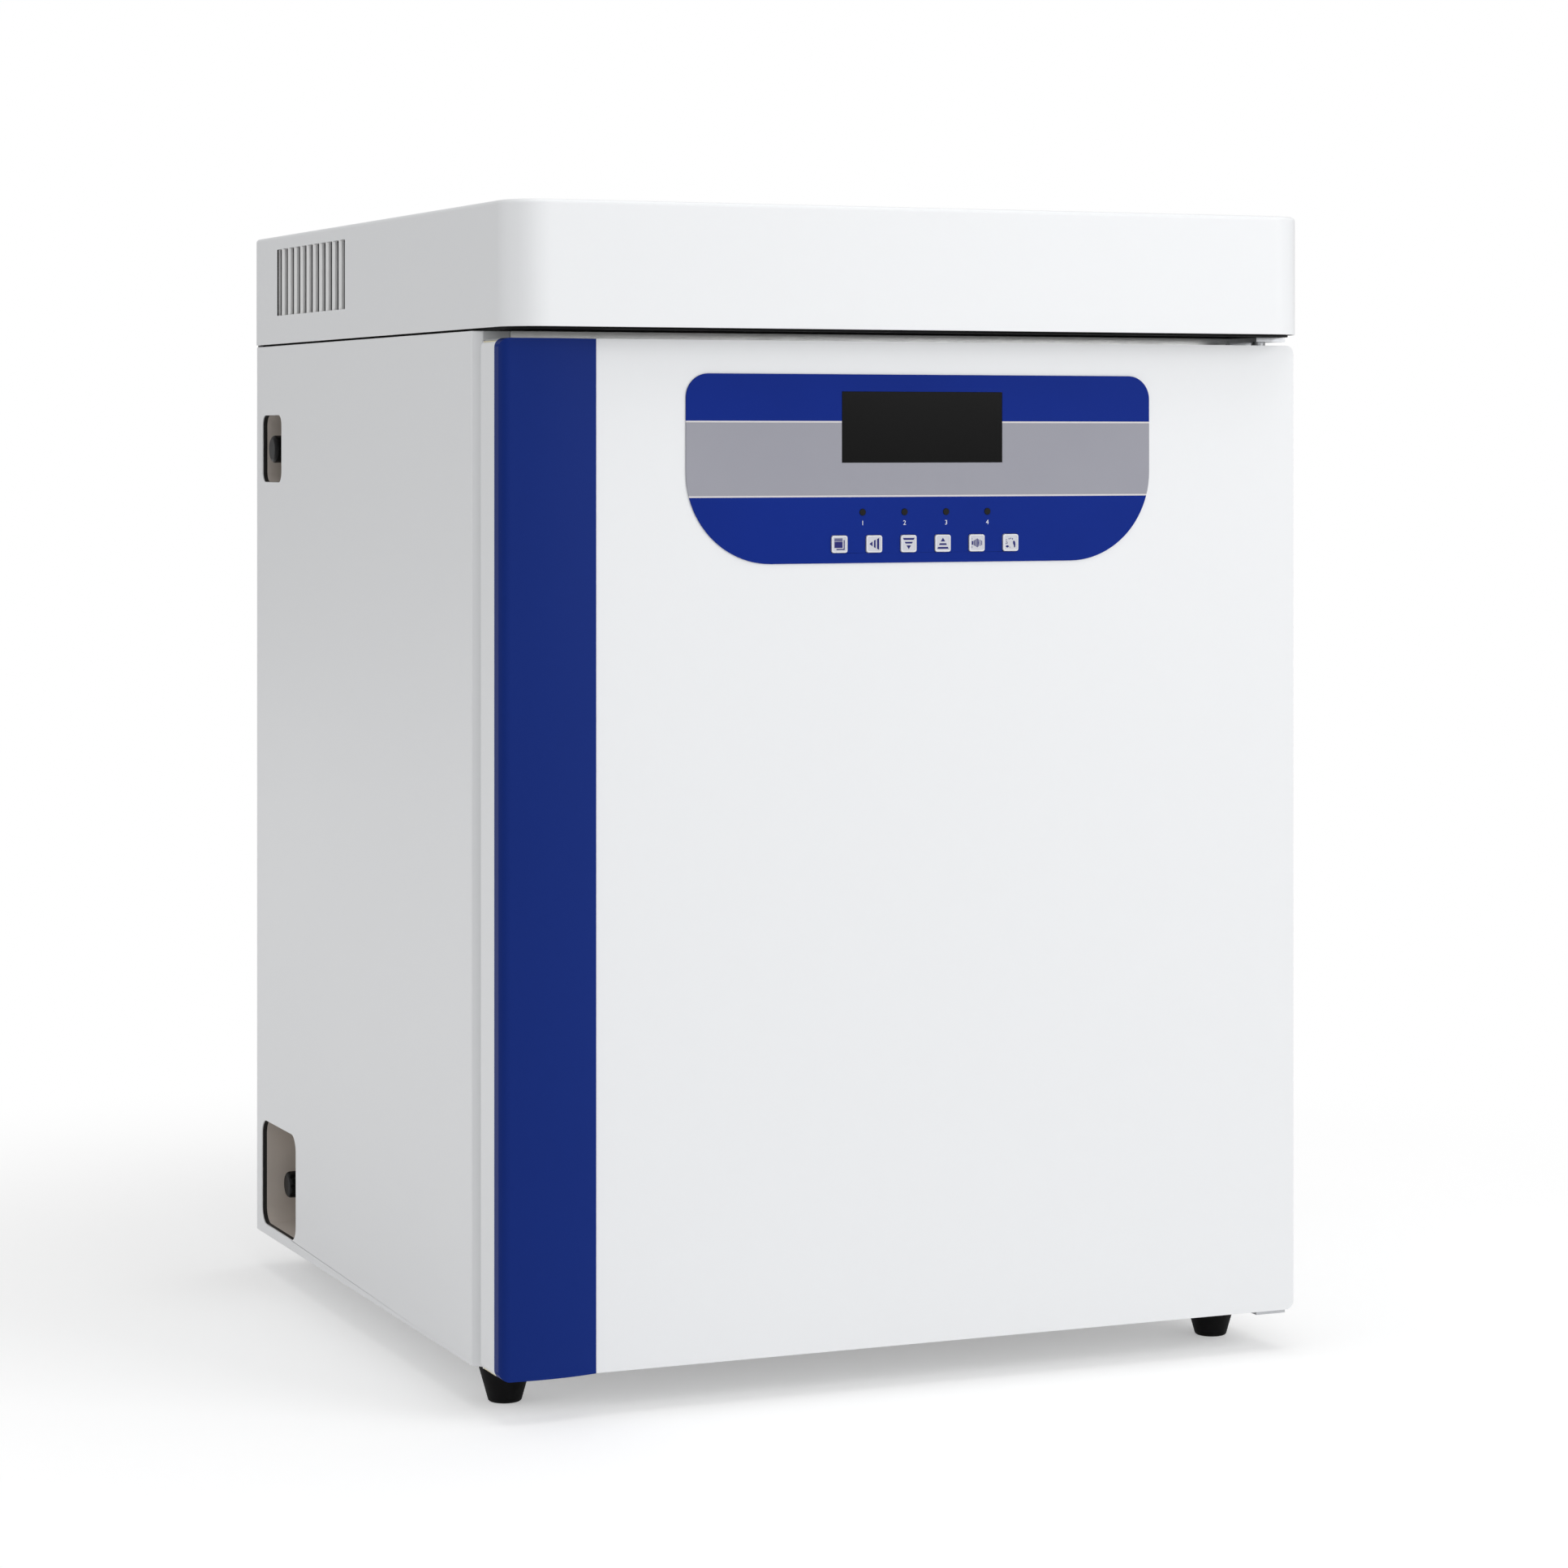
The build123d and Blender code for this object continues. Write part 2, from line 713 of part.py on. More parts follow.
def case_insulation():
    """Foam boards left, right, above, below and behind the jacket."""
    front = tank_front_y + foam_gap
    side_front = front_y + case_corner_chamfer + sheet + foam_gap
    outer_x = right_x - sheet - foam_gap
    inner_x = tank_right + foam_gap
    low = base_z + pan_flange + foam_gap
    high = case_top_z - foam_gap
    recess_front = port_axis_y + lower_recess_y[0] - recess_wall - recess_flange
    left = block((-outer_x, -inner_x), (side_front, recess_front - foam_gap), (low, high))
    right = block((inner_x, outer_x), (side_front, rear_y - screw_length - foam_gap), (low, high))
    top = block((-tank_right, tank_right), (front, tank_back_y), (tank_top_z + foam_gap, high))
    pipe_top = (gas_x, gas_down_y, case_top_z)
    top -= rod(gas_pipe_radius + pipe_clearance, (gas_x, gas_down_y, tank_top_z), pipe_top)
    bottom_ys = (front, drain_rise_y - pipe_radius - foam_gap)
    bottom = block((-tank_right, tank_right), bottom_ys, (low, tank_floor_z - heater_thickness - fit_gap))
    rear_ys = (tank_back_y + foam_gap, rear_y - screw_length - foam_gap)
    rear = block((-tank_right + service_space, tank_right), rear_ys, (low, high))
    motor_end = tank_back_y + motor_stand_off + motor_length + motor_clearance
    rear -= rod(motor_radius + motor_clearance, (0, tank_back_y, fan_z), (0, motor_end, fan_z))
    return [left, right, top, bottom, rear]


def jacket_heater():
    """Silicone heating mat under the jacket."""
    xs = grown((-tank_right, tank_right), -heater_margin)
    ys = grown((tank_front_y, tank_back_y), -heater_margin)
    return block(xs, ys, (tank_floor_z - heater_thickness, tank_floor_z))


# Shelves, runners and water pan

def shelf_heights():
    """Undersides of the shelves, from the lowest up."""
    return [chamber_floor_z + shelf_first + index * shelf_pitch for index in range(len(shelf_names))]


def shelf_racks():
    """Two side racks: upright posts on the wall with a C-shaped runner for each shelf."""
    runner_ys = (shelf_front_y + runner_setback, shelf_front_y + shelf_depth)
    post_xs = (chamber_right - rack_post, chamber_right)
    post_zs = grown((chamber_floor_z, chamber_top_z), -chamber_corner_radius - rack_post_clearance)
    post_ys = grown(runner_ys, -rack_post_inset)
    front_post, rear_post = [block(post_xs, around(y, rack_post_width), post_zs) for y in post_ys]
    rack = front_post + rear_post
    for z in shelf_heights():
        low = z - seat_gap
        high = z + shelf_sheet + seat_gap
        runner = block((rack_inner - runner_leg, chamber_right - rack_post), runner_ys,
                       (low - runner_sheet, high + runner_sheet))
        runner -= block((rack_inner - runner_leg, rack_inner), runner_ys, (low, high))
        rack += runner
    return [rack, mirror(rack, about=Plane.YZ)]


def shelf(z):
    """Stainless shelf with turned-down front and rear lips and rows of slots."""
    half = rack_inner - runner_sheet
    ys = (shelf_front_y, shelf_front_y + shelf_depth)
    plate = block((-half, half), ys, (z, z + shelf_sheet))
    lip_x = rack_inner - runner_leg - shelf_lip_clearance
    for low_y in (ys[0], ys[1] - shelf_sheet):
        plate += block((-lip_x, lip_x), (low_y, low_y + shelf_sheet), (z - shelf_lip, z))
    slot_x = lip_x - shelf_slot_margin_x
    column_pitch = 2 * slot_x / shelf_slot_columns
    row_pitch = (shelf_depth - 2 * shelf_slot_margin_y) / shelf_slot_rows
    for column in range(shelf_slot_columns):
        xs = around(-slot_x + (column + 0.5) * column_pitch, shelf_slot_width)
        for row in range(shelf_slot_rows):
            middle = ys[0] + shelf_slot_margin_y + (row + 0.5) * row_pitch
            ys = around(middle, shelf_slot_share * row_pitch)
            plate -= block(xs, ys, grown((z, z + shelf_sheet), cut_over))
    return plate


def water_pan():
    """Open stainless humidity pan that lies on the chamber floor."""
    xs = around(0, pan_width)
    ys = (shelf_front_y, shelf_front_y + pan_depth)
    zs = (chamber_floor_z + seat_gap, chamber_floor_z + seat_gap + pan_height)
    room = block(grown(xs, -pan_sheet), grown(ys, -pan_sheet), (zs[0] + pan_sheet, zs[1] + cut_over))
    return block(xs, ys, zs) - room


# Fan, duct cover, lamp and sensors

def fan_wheel():
    """Circulation fan wheel: back plate, hub, curved blades and a front ring on one shaft."""
    front = fan_front_y
    back = front + fan_depth
    wheel = rod(fan_radius, (0, back - fan_blade_sheet, fan_z), (0, back, fan_z))
    wheel += rod(fan_hub_radius, (0, front + fan_hub_setback, fan_z), (0, back, fan_z))
    ring_ys = (front, front + fan_blade_sheet)
    ring = rod(fan_radius, (0, ring_ys[0], fan_z), (0, ring_ys[1], fan_z))
    hole_ys = grown(ring_ys, cut_over)
    wheel += ring - rod(fan_radius - fan_ring_width, (0, hole_ys[0], fan_z), (0, hole_ys[1], fan_z))
    tip = fan_radius - fan_blade_tip_inset
    middle = (fan_blade_inner + tip) / 2
    blade_line = ThreePointArc((fan_blade_inner, 0), (middle, fan_blade_bow), (tip, fan_blade_sweep))
    outline = offset(blade_line, amount=fan_blade_sheet, side=Side.LEFT, kind=Kind.INTERSECTION)
    blade = extrude(make_face(outline.edges()), fan_depth)
    seat = Plane(origin=(0, back, fan_z), x_dir=(1, 0, 0), z_dir=(0, -1, 0))
    for index in range(fan_blade_count):
        wheel += seat * (Rot(0, 0, index * 360 / fan_blade_count) * blade)
    return wheel + rod(fan_shaft_radius, (0, back, fan_z), (0, tank_back_y + fan_shaft_seat, fan_z))


def fan_motor():
    """Motor can on the rear of the jacket, with a mounting flange."""
    steps = [(motor_nose_radius, motor_stand_off), (motor_radius, motor_length)]
    motor = turned(steps, (0, tank_back_y, fan_z), (0, 1, 0))
    bore_ys = grown((tank_back_y, tank_back_y + fan_shaft_seat), cut_over)
    return motor - rod(fan_shaft_radius + running_gap, (0, bore_ys[0], fan_z), (0, bore_ys[1], fan_z))


def fan_cover():
    """Duct cover over the fan: a shallow box open to the wall, with a slotted front and side outlets."""
    xs = around(0, duct_width)
    ys = (chamber_back_y - duct_depth, chamber_back_y)
    zs = around(fan_z, duct_height)
    cover = block(xs, ys, zs)
    cover -= block(grown(xs, -duct_sheet), (ys[0] + duct_sheet, ys[1] + cut_over), grown(zs, -duct_sheet))
    slot_ys = grown((ys[0], ys[0] + duct_sheet), cut_over)
    for index in range(duct_slot_count):
        rise = (index - (duct_slot_count - 1) / 2) * 2 * duct_slot_width
        half = (fan_radius ** 2 - rise ** 2) ** 0.5
        cover -= block((-half, half), slot_ys, around(fan_z + rise, duct_slot_width))
    outlet_zs = grown(zs, -duct_outlet_margin_z)
    return cover - block(grown(xs, cut_over), grown(ys, -duct_outlet_margin_y), outlet_zs)


def uv_lamp():
    """Ultraviolet tube under the ceiling with an end holder at each side."""
    y = shelf_front_y + shelf_depth - tube_forward
    z = chamber_top_z - tube_drop - tube_radius
    half = tube_length / 2
    tube = rod(tube_radius, (-half, y, z), (half, y, z))
    holder_xs = (half, half + tube_holder_length)
    holder = block(holder_xs, around(y, tube_holder_width), (z - tube_holder_drop, chamber_top_z))
    return [tube, holder, mirror(holder, about=Plane.YZ)]


def chamber_sensors():
    """Temperature probe and gas sensor on the rear wall, each with its collar."""
    places = [(-probe_x, probe_steps), (probe_x, gas_sensor_steps)]
    return [turned(steps, (x, chamber_back_y, fan_z), (0, -1, 0)) for x, steps in places]


# Ports on the left side

def fill_port():
    """Threaded neck of the jacket's filling port, with a collar in the recess."""
    steps = [
        (fill_neck_radius, recess_wall),
        (fill_collar_radius, fill_collar_length),
        (fill_neck_radius, fill_neck_length - fill_collar_length),
    ]
    neck = turned(steps, (recess_back_x, port_axis_y, fill_z), (-1, 0, 0))
    bore_xs = grown((recess_outer_x - fill_neck_length, recess_back_x), cut_over)
    return neck - rod(fill_bore_radius, (bore_xs[0], port_axis_y, fill_z), (bore_xs[1], port_axis_y, fill_z))


def fill_cap():
    """Black cap with two grip grooves that pulls off the filling neck."""
    start = left_x + cap_setback
    end = start + cap_length

    def along(radius, low, high):
        return rod(radius, (low, port_axis_y, fill_z), (high, port_axis_y, fill_z))

    cap = fillet(along(cap_radius, start, end).edges().sort_by(Axis.X)[0], cap_round)
    cap -= along(fill_neck_radius + running_gap, end - cap_bore_depth, end + cut_over)
    for index in range(2):
        low = start + cap_groove_first + index * cap_groove_pitch
        groove = along(cap_radius + cut_over, low, low + cap_groove_width)
        inner = along(cap_radius - cap_groove_depth, low - cut_over, low + cap_groove_width + cut_over)
        cap -= groove - inner
    return cap


def drain_valve():
    """Brass drain valve body with a ribbed collar, an outlet pointing down and a spindle for its knob."""
    rib_edge = (valve_collar_radius, rib_pitch / 4)
    steps = [(valve_radius, recess_wall + valve_flange_length)]
    steps += rib_count * [rib_edge, (valve_radius, rib_pitch / 2), rib_edge]
    steps.append((spindle_radius, spindle_length))
    body = turned(steps, (recess_back_x, port_axis_y, drain_z), (-1, 0, 0))
    outlet_x = recess_outer_x - outlet_setback
    outlet_low = (outlet_x, port_axis_y, drain_z - valve_radius - outlet_drop)
    return body + rod(outlet_radius, outlet_low, (outlet_x, port_axis_y, drain_z))


def drain_knob():
    """Fluted black knob that turns on the valve's spindle."""
    seat = recess_outer_x - valve_flange_length - rib_count * rib_pitch - seat_gap
    knob = rod(knob_radius, (seat - knob_length, port_axis_y, drain_z), (seat, port_axis_y, drain_z))
    knob = fillet(knob.edges().sort_by(Axis.X)[0], knob_round)
    flute_offset = knob_radius + flute_radius - flute_depth
    low, high = grown((seat - knob_length, seat), cut_over)
    for index in range(knob_flute_count):
        angle = 2 * pi * index / knob_flute_count
        y = port_axis_y + flute_offset * cos(angle)
        z = drain_z + flute_offset * sin(angle)
        knob -= rod(flute_radius, (low, y, z), (high, y, z))
    bore_end = (seat - spindle_length - cut_over, port_axis_y, drain_z)
    return knob - rod(spindle_radius + running_gap, bore_end, (high, port_axis_y, drain_z))


def jacket_pipes():
    """Filling pipe to the top of the jacket and drain pipe from its underside."""
    start_x = recess_back_x + fit_gap
    turn_x = -tank_right + service_space / 2
    fill = [(start_x, port_axis_y, fill_z), (turn_x, port_axis_y, fill_z), (turn_x, tank_back_y, fill_z)]
    drain = [
        (start_x, port_axis_y, drain_z),
        (turn_x, port_axis_y, drain_z),
        (turn_x, drain_rise_y, drain_z),
        (turn_x, drain_rise_y, tank_floor_z),
    ]
    return [pipe(pipe_radius, points, pipe_bend) for points in (fill, drain)]


# Header contents and rear connections

def gas_inlet():
    """Hose tail for the gas supply on the rear panel."""
    hex_back = rear_y + gas_hex_depth
    tail_end = hex_back + gas_tail_length
    nut = Pos(gas_x, gas_z) * RegularPolygon(gas_hex_radius, 6)
    inlet = extrude(front_view(hex_back) * nut, gas_hex_depth)
    inlet += rod(gas_tail_radius, (gas_x, hex_back, gas_z), (gas_x, tail_end, gas_z))
    thread_start = rear_y - gas_thread_length
    inlet += rod(gas_thread_radius - fit_gap, (gas_x, thread_start, gas_z), (gas_x, rear_y, gas_z))
    low, high = grown((thread_start, tail_end), cut_over)
    return inlet - rod(gas_tail_bore, (gas_x, low, gas_z), (gas_x, high, gas_z))


def gas_valve():
    """Solenoid valve in line behind the gas inlet: brass block with a coil on top."""
    wide, deep, high = gas_valve_size
    coil_wide, coil_deep, coil_high = gas_coil_size
    middle = rear_y - gas_thread_length - deep / 2
    body_zs = around(gas_z, high)
    body = block(around(gas_x, wide), around(middle, deep), body_zs)
    coil_zs = (body_zs[1], body_zs[1] + coil_high)
    coil = block(around(gas_x, coil_wide), around(middle, coil_deep), coil_zs)
    bracket_zs = (deck_top_z, body_zs[0])
    bracket = block(around(gas_x, gas_bracket_width), around(middle, gas_bracket_width), bracket_zs)
    return body + coil + bracket


def gas_line():
    """Disc filter and the pipe that turns down through the deck into the chamber."""
    valve_front = rear_y - gas_thread_length - gas_valve_size[1]
    steps = [(filter_nipple_radius, filter_gap), (filter_radius, filter_length)]
    disc = turned(steps, (gas_x, valve_front, gas_z), (0, -1, 0))
    run = [
        (gas_x, valve_front - filter_gap - filter_length, gas_z),
        (gas_x, gas_down_y, gas_z),
        (gas_x, gas_down_y, chamber_top_z - gas_pipe_reach),
    ]
    return [disc, pipe(gas_pipe_radius, run, gas_pipe_bend)]


def power_entry():
    """Mains socket with earth and live pins and the housing of the rocker switch."""
    face = rear_y + entry_flange
    floor = face - socket_depth
    xs = around(entry_x, entry_width)
    zs = around(entry_z, entry_height)
    entry = block(xs, (rear_y - entry_depth, rear_y), zs)
    entry += block(grown(xs, entry_rim), (rear_y, face), grown(zs, entry_rim))
    entry -= block(around(entry_x, socket_width), (floor, face + cut_over), around(socket_z, socket_height))
    for x, z in pin_places:
        pin_ys = (floor - pin_root, floor + socket_pin_length)
        entry += block(around(entry_x + x, pin_width), pin_ys, around(socket_z + z, pin_height))
    well_xs = around(entry_x, rocker_width + 2 * rocker_gap)
    well_zs = around(rocker_z, rocker_height + 2 * rocker_gap)
    return entry - block(well_xs, (rear_y - rocker_well, face + cut_over), well_zs)


def power_rocker():
    """Rocker of the mains switch, a wedge tipped to its off side on an axis along X."""
    tip = rocker_height / 2 - rocker_relief
    proud = rocker_depth + rocker_lip
    points = [(0, -rocker_heel), (proud, -tip), (rocker_depth, 0), (proud, tip), (0, rocker_heel)]
    wedge = extrude(side_view(-rocker_width / 2) * make_face(Polyline(*points, close=True)), rocker_width)
    return Pos(entry_x, rear_y + entry_flange - rocker_depth, rocker_z) * Rot(-rocker_angle, 0, 0) * wedge


def power_supply():
    """Switching power supply in its own case on the deck."""
    x, y = supply_place
    wide, deep, high = supply_size
    return block(around(x, wide), around(front_y + y, deep), (deck_top_z, deck_top_z + high))


def control_board():
    """Main circuit board on four stand-offs with its larger components."""
    x, y = logic_place
    wide, deep = logic_size
    centre_y = front_y + y
    board_z = deck_top_z + logic_stand_off
    top = board_z + board_thickness
    xs = around(x, wide)
    ys = around(centre_y, deep)
    board = block(xs, ys, (board_z, top))
    for post_x in grown(xs, -logic_post_inset):
        for post_y in grown(ys, -logic_post_inset):
            board += rod(logic_post_radius, (post_x, post_y, deck_top_z), (post_x, post_y, board_z))
    relay_x, *relay = first_relay
    relays = [(relay_x + index * relay_pitch, *relay) for index in range(relay_count)]
    for part_x, part_y, part_wide, part_deep, part_high in [transformer, processor] + relays:
        part_xs = around(x + part_x, part_wide)
        board += block(part_xs, around(centre_y + part_y, part_deep), (top, top + part_high))
    return board


# Outer door

def door_hinge_brackets():
    """Top and bottom hinge brackets on the case front, each with a leaf over the door's edge and a pin."""
    xs = (right_x - hinge_leaf_width - hinge_leaf_inset, right_x - hinge_leaf_inset)
    brackets = []
    levels = [(case_top_z - hinge_plate, case_top_z, -1), (base_z - hinge_plate, base_z, 1)]
    for low, high, way in levels:
        leaf = block(xs, (hinge_y - hinge_pin_radius - hinge_nose, front_y), (low, high))
        leg_zs = (high - hinge_leaf_height, high) if way < 0 else (low, low + hinge_leaf_height)
        leaf += block(xs, (front_y - hinge_plate, front_y), leg_zs)
        start = low if way < 0 else high
        reach = door_top_z - hinge_pin_length if way < 0 else door_bottom_z + hinge_pin_length
        leaf += rod(hinge_pin_radius, (hinge_x, hinge_y, start), (hinge_x, hinge_y, reach))
        brackets.append(leaf)
    return brackets


def hinge_bushes():
    """Plain bearing bushes in the top and bottom of the door."""
    axis_xy = (hinge_x, hinge_y)
    bushes = []
    for face, way in ((door_top_z, -1), (door_bottom_z, 1)):
        end = face + way * hinge_bush_length
        bush = rod(hinge_pin_radius + hinge_bush_wall, (*axis_xy, face), (*axis_xy, end))
        low, high = face - way * cut_over, end - way * hinge_bush_floor / 2
        bushes.append(bush - rod(hinge_pin_radius + running_gap, (*axis_xy, low), (*axis_xy, high)))
    return bushes


def module_opening():
    """Limits of the cut-out in the door's outer sheet behind the window, the lamps and the keys."""
    keys = key_places()
    reach = key_size / 2 + module_margin
    xs = grown((keys[0], keys[-1]), reach)
    return xs, (key_z - reach, lamp_z + module_margin)


def window_limits():
    return (window_left, window_right), (door_top_z - window_bottom, door_top_z - window_top)


def door_outer_panel():
    """Pressed outer skin of the door, rebated for the handle strip and cut for the display and keys."""
    xs = (left_x, right_x)
    zs = (door_bottom_z, door_top_z)
    skin = extrude(front_view(door_back_y) * rounded(xs, zs, door_corner_radius), door_thickness)
    tall = grown(zs, cut_over)
    rebate = block((left_x - cut_over, handle_right_x), (door_front_y - cut_over, handle_rebate_y), tall)
    room = block(grown(xs, -sheet), (panel_inner_y, door_back_y + cut_over), grown(zs, -sheet))
    rebate_room = block((left_x, handle_right_x + sheet), (door_front_y, handle_rebate_y + sheet), tall)
    skin = skin - rebate - (room - rebate_room)
    hole = hinge_pin_radius + hinge_bush_wall
    skin -= rod(hole, (hinge_x, hinge_y, tall[0]), (hinge_x, hinge_y, tall[1]))
    for opening_xs, opening_zs in (module_opening(), window_limits()):
        skin -= block(opening_xs, grown((door_front_y, panel_inner_y), cut_over), opening_zs)
    return skin


def door_inner_panel():
    """Inner skin of the door, pressed inwards behind the glass door."""
    xs = grown((left_x, right_x), -sheet)
    zs = grown((door_bottom_z, door_top_z), -sheet)
    recess_x = right_x - door_recess_margin
    recess_zs = grown((door_bottom_z, door_top_z), -door_recess_margin)
    panel = block(xs, (door_back_y - sheet, door_back_y), zs)
    recess_xs = (-recess_x, recess_x)
    floor_y = door_back_y - door_recess_depth
    panel += block(grown(recess_xs, sheet), (floor_y - sheet, door_back_y), grown(recess_zs, sheet))
    return panel - block(recess_xs, (floor_y, door_back_y + cut_over), recess_zs)


def door_insulation():
    """Foam that fills the door round the bushes, the control board and the pressed recess."""
    front = panel_inner_y + foam_gap
    back = door_back_y - sheet - foam_gap
    inset = sheet + foam_gap
    door_zs = (door_bottom_z, door_top_z)
    foam = block(grown((left_x, right_x), -inset), (front, back), grown(door_zs, -inset))
    foam -= block((left_x, handle_right_x + inset), (door_front_y, handle_rebate_y + inset), door_zs)
    recess_x = right_x - door_recess_margin + inset
    recess_ys = (back - door_recess_depth, door_back_y)
    foam -= block((-recess_x, recess_x), recess_ys, grown(door_zs, inset - door_recess_margin))
    bush_xs = (hinge_x - hinge_pin_radius - hinge_bush_wall - foam_gap, right_x)
    pocket = hinge_bush_length + foam_gap
    for zs in ((door_top_z - pocket, door_top_z), (door_bottom_z, door_bottom_z + pocket)):
        foam -= block(bush_xs, (door_front_y, door_back_y), zs)
    xs, zs = board_limits()
    board_ys = (door_front_y, board_front_y + board_thickness + board_space)
    return foam - block(grown(xs, foam_gap), board_ys, grown(zs, foam_gap))


def door_gasket():
    """Soft magnetic gasket round the inner skin, closing on the front frame."""
    inner_xs = grown((left_x, right_x), -door_gasket_margin)
    inner_zs = grown((door_bottom_z, door_top_z), -door_gasket_margin)
    face = front_y - seat_gap
    ring_ys = (door_back_y, face)
    corners = (door_gasket_corner, door_gasket_inner_corner)
    ring = upright_ring(inner_xs, inner_zs, door_gasket_band, ring_ys, corners)
    groove_shift = door_gasket_band - door_gasket_groove_inset - door_gasket_groove_width
    groove_xs = grown(inner_xs, groove_shift)
    groove_zs = grown(inner_zs, groove_shift)
    groove_ys = (face - door_gasket_groove_depth, face + cut_over)
    return ring - upright_ring(groove_xs, groove_zs, door_gasket_groove_width, groove_ys, corners)


def handle_strip():
    """Full height handle strip: a crowned front that turns round the free edge of the door."""
    back = handle_rebate_y
    front = door_front_y
    turn = handle_corner_radius
    right = handle_right_x - fit_gap
    side_line = Line((left_x, back), (left_x, front + handle_round_back))
    corner = RadiusArc(side_line @ 1, (left_x + turn, front - handle_round_front), -turn)
    crest = ((left_x + turn + right) / 2 + handle_crown_shift, front - handle_bulge)
    crown = ThreePointArc(corner @ 1, crest, (right, front - handle_lip))
    edge = Line(crown @ 1, (right, back))
    outline = make_face([side_line, corner, crown, edge, Line(edge @ 1, (left_x, back))])
    strip = extrude(Pos(0, 0, door_bottom_z) * outline, door_top_z - door_bottom_z)
    corners = strip.edges().filter_by(Axis.Y).group_by(Axis.X)[0]
    return fillet(corners, door_corner_radius)


def key_places():
    return [key_first_x + index * key_pitch for index in range(len(key_names))]


def lamp_places():
    return [lamp_first_x + index * lamp_pitch for index in range(lamp_count)]


def control_overlay():
    """Printed control panel on the door with holes for the window, the lamps and the keys."""
    zs = (door_top_z - overlay_bottom, door_top_z - overlay_top)
    outline = rounded((overlay_left, overlay_right), zs, overlay_bottom_radius, overlay_top_radius)
    (x0, x1), (z0, z1) = window_limits()
    outline -= Pos((x0 + x1) / 2, (z0 + z1) / 2) * Rectangle(x1 - x0, z1 - z0)
    hole = key_size + 2 * key_gap
    for x in key_places():
        outline -= Pos(x, key_z) * RectangleRounded(hole, hole, key_corner_radius + key_gap)
    for x in lamp_places():
        outline -= Pos(x, lamp_z) * Circle(lamp_radius + fit_gap)
    return extrude(front_view(door_front_y) * outline, overlay_thickness)


def display_window():
    """Dark display window flush with the overlay."""
    xs, zs = window_limits()
    front = overlay_front_y
    return block(grown(xs, -fit_gap), (front, front + window_thickness), grown(zs, -fit_gap))


def board_limits():
    """Limits of the control board behind the panel."""
    key_xs, key_zs = module_opening()
    zs = (key_zs[0], door_top_z - window_top)
    return grown(key_xs, board_margin), grown(zs, board_margin / 2)


def key_board():
    """Circuit board in the door with the display module, the key switches and stand-offs."""
    xs, zs = board_limits()
    board = block(xs, (board_front_y, board_front_y + board_thickness), zs)
    window_xs, window_zs = window_limits()
    display_ys = (overlay_front_y + window_thickness, board_front_y)
    board += block(grown(window_xs, -display_inset), display_ys, grown(window_zs, -display_inset))
    switch_ys = (key_back_y + key_travel + fit_gap, board_front_y)
    for x in key_places():
        board += block(around(x, switch_size), switch_ys, around(key_z, switch_size))
    for x in grown(xs, -board_post_inset):
        for z in grown(zs, -board_post_inset):
            board += rod(board_post_radius, (x, panel_inner_y, z), (x, board_front_y, z))
    return board


def indicator_lamps():
    """Four small lamps from the board to the front of the overlay."""
    front = overlay_front_y - lamp_proud
    return [rod(lamp_radius, (x, front, lamp_z), (x, board_front_y, lamp_z)) for x in lamp_places()]


def key_cap(x):
    """Square key with a flange that holds it behind the overlay."""
    cap = RectangleRounded(key_size, key_size, key_corner_radius)
    depth = key_back_y - overlay_front_y + key_proud
    key = extrude(front_view(key_back_y) * (Pos(x, key_z) * cap), depth)
    flange = key_size + 2 * key_flange_rim
    return key + block(around(x, flange), (key_back_y - key_flange, key_back_y), around(key_z, flange))


# Inner glass door

def glass_door_gasket():
    """Flat silicone gasket on the front frame behind the edge of the glass."""
    inner_xs = grown((-glass_right, glass_right), -glass_gasket_inset - glass_gasket_band)
    inner_zs = grown((glass_bottom_z, glass_top_z), -glass_gasket_inset - glass_gasket_band)
    ring_ys = (front_y - glass_gasket_thickness, front_y)
    corners = (glass_gasket_corner, glass_gasket_inner_corner)
    return upright_ring(inner_xs, inner_zs, glass_gasket_band, ring_ys, corners)


def glass_pane():
    """Tempered glass pane with rounded corners."""
    outline = rounded((-glass_right, glass_right), (glass_bottom_z, glass_top_z), glass_corner_radius)
    return extrude(front_view(glass_back_y) * outline, glass_thickness)


def clamp_levels():
    """Outer end of each glass hinge clamp and the direction from it towards the pane's middle."""
    return [(glass_top_z - glass_clamp_inset, -1), (glass_bottom_z + glass_clamp_inset, 1)]


def glass_hinge_clamps():
    """Two clamps on the edge of the glass, each with a knuckle bored for its pin."""
    clamps = []
    for level, way in clamp_levels():
        zs = sorted((level, level + way * glass_clamp_height))
        jaw_ys = (glass_front_y - glass_clamp_front, glass_back_y + glass_clamp_back)
        clamp = block((glass_right - glass_clamp_grip, glass_pivot_x), jaw_ys, zs)
        clamp -= block((-glass_right, glass_right), (glass_front_y, glass_back_y), zs)
        clamp -= block((0, glass_right - glass_gasket_inset + seat_gap), (glass_back_y, front_y), zs)
        axis_xy = (glass_pivot_x, glass_pivot_y)
        clamp += rod(glass_knuckle_radius, (*axis_xy, zs[0]), (*axis_xy, zs[1]))
        bore_end = level + way * (glass_clamp_height - glass_clamp_floor)
        bore = rod(glass_pin_radius + running_gap, (*axis_xy, level - way * cut_over), (*axis_xy, bore_end))
        clamps.append(clamp - bore)
    return clamps


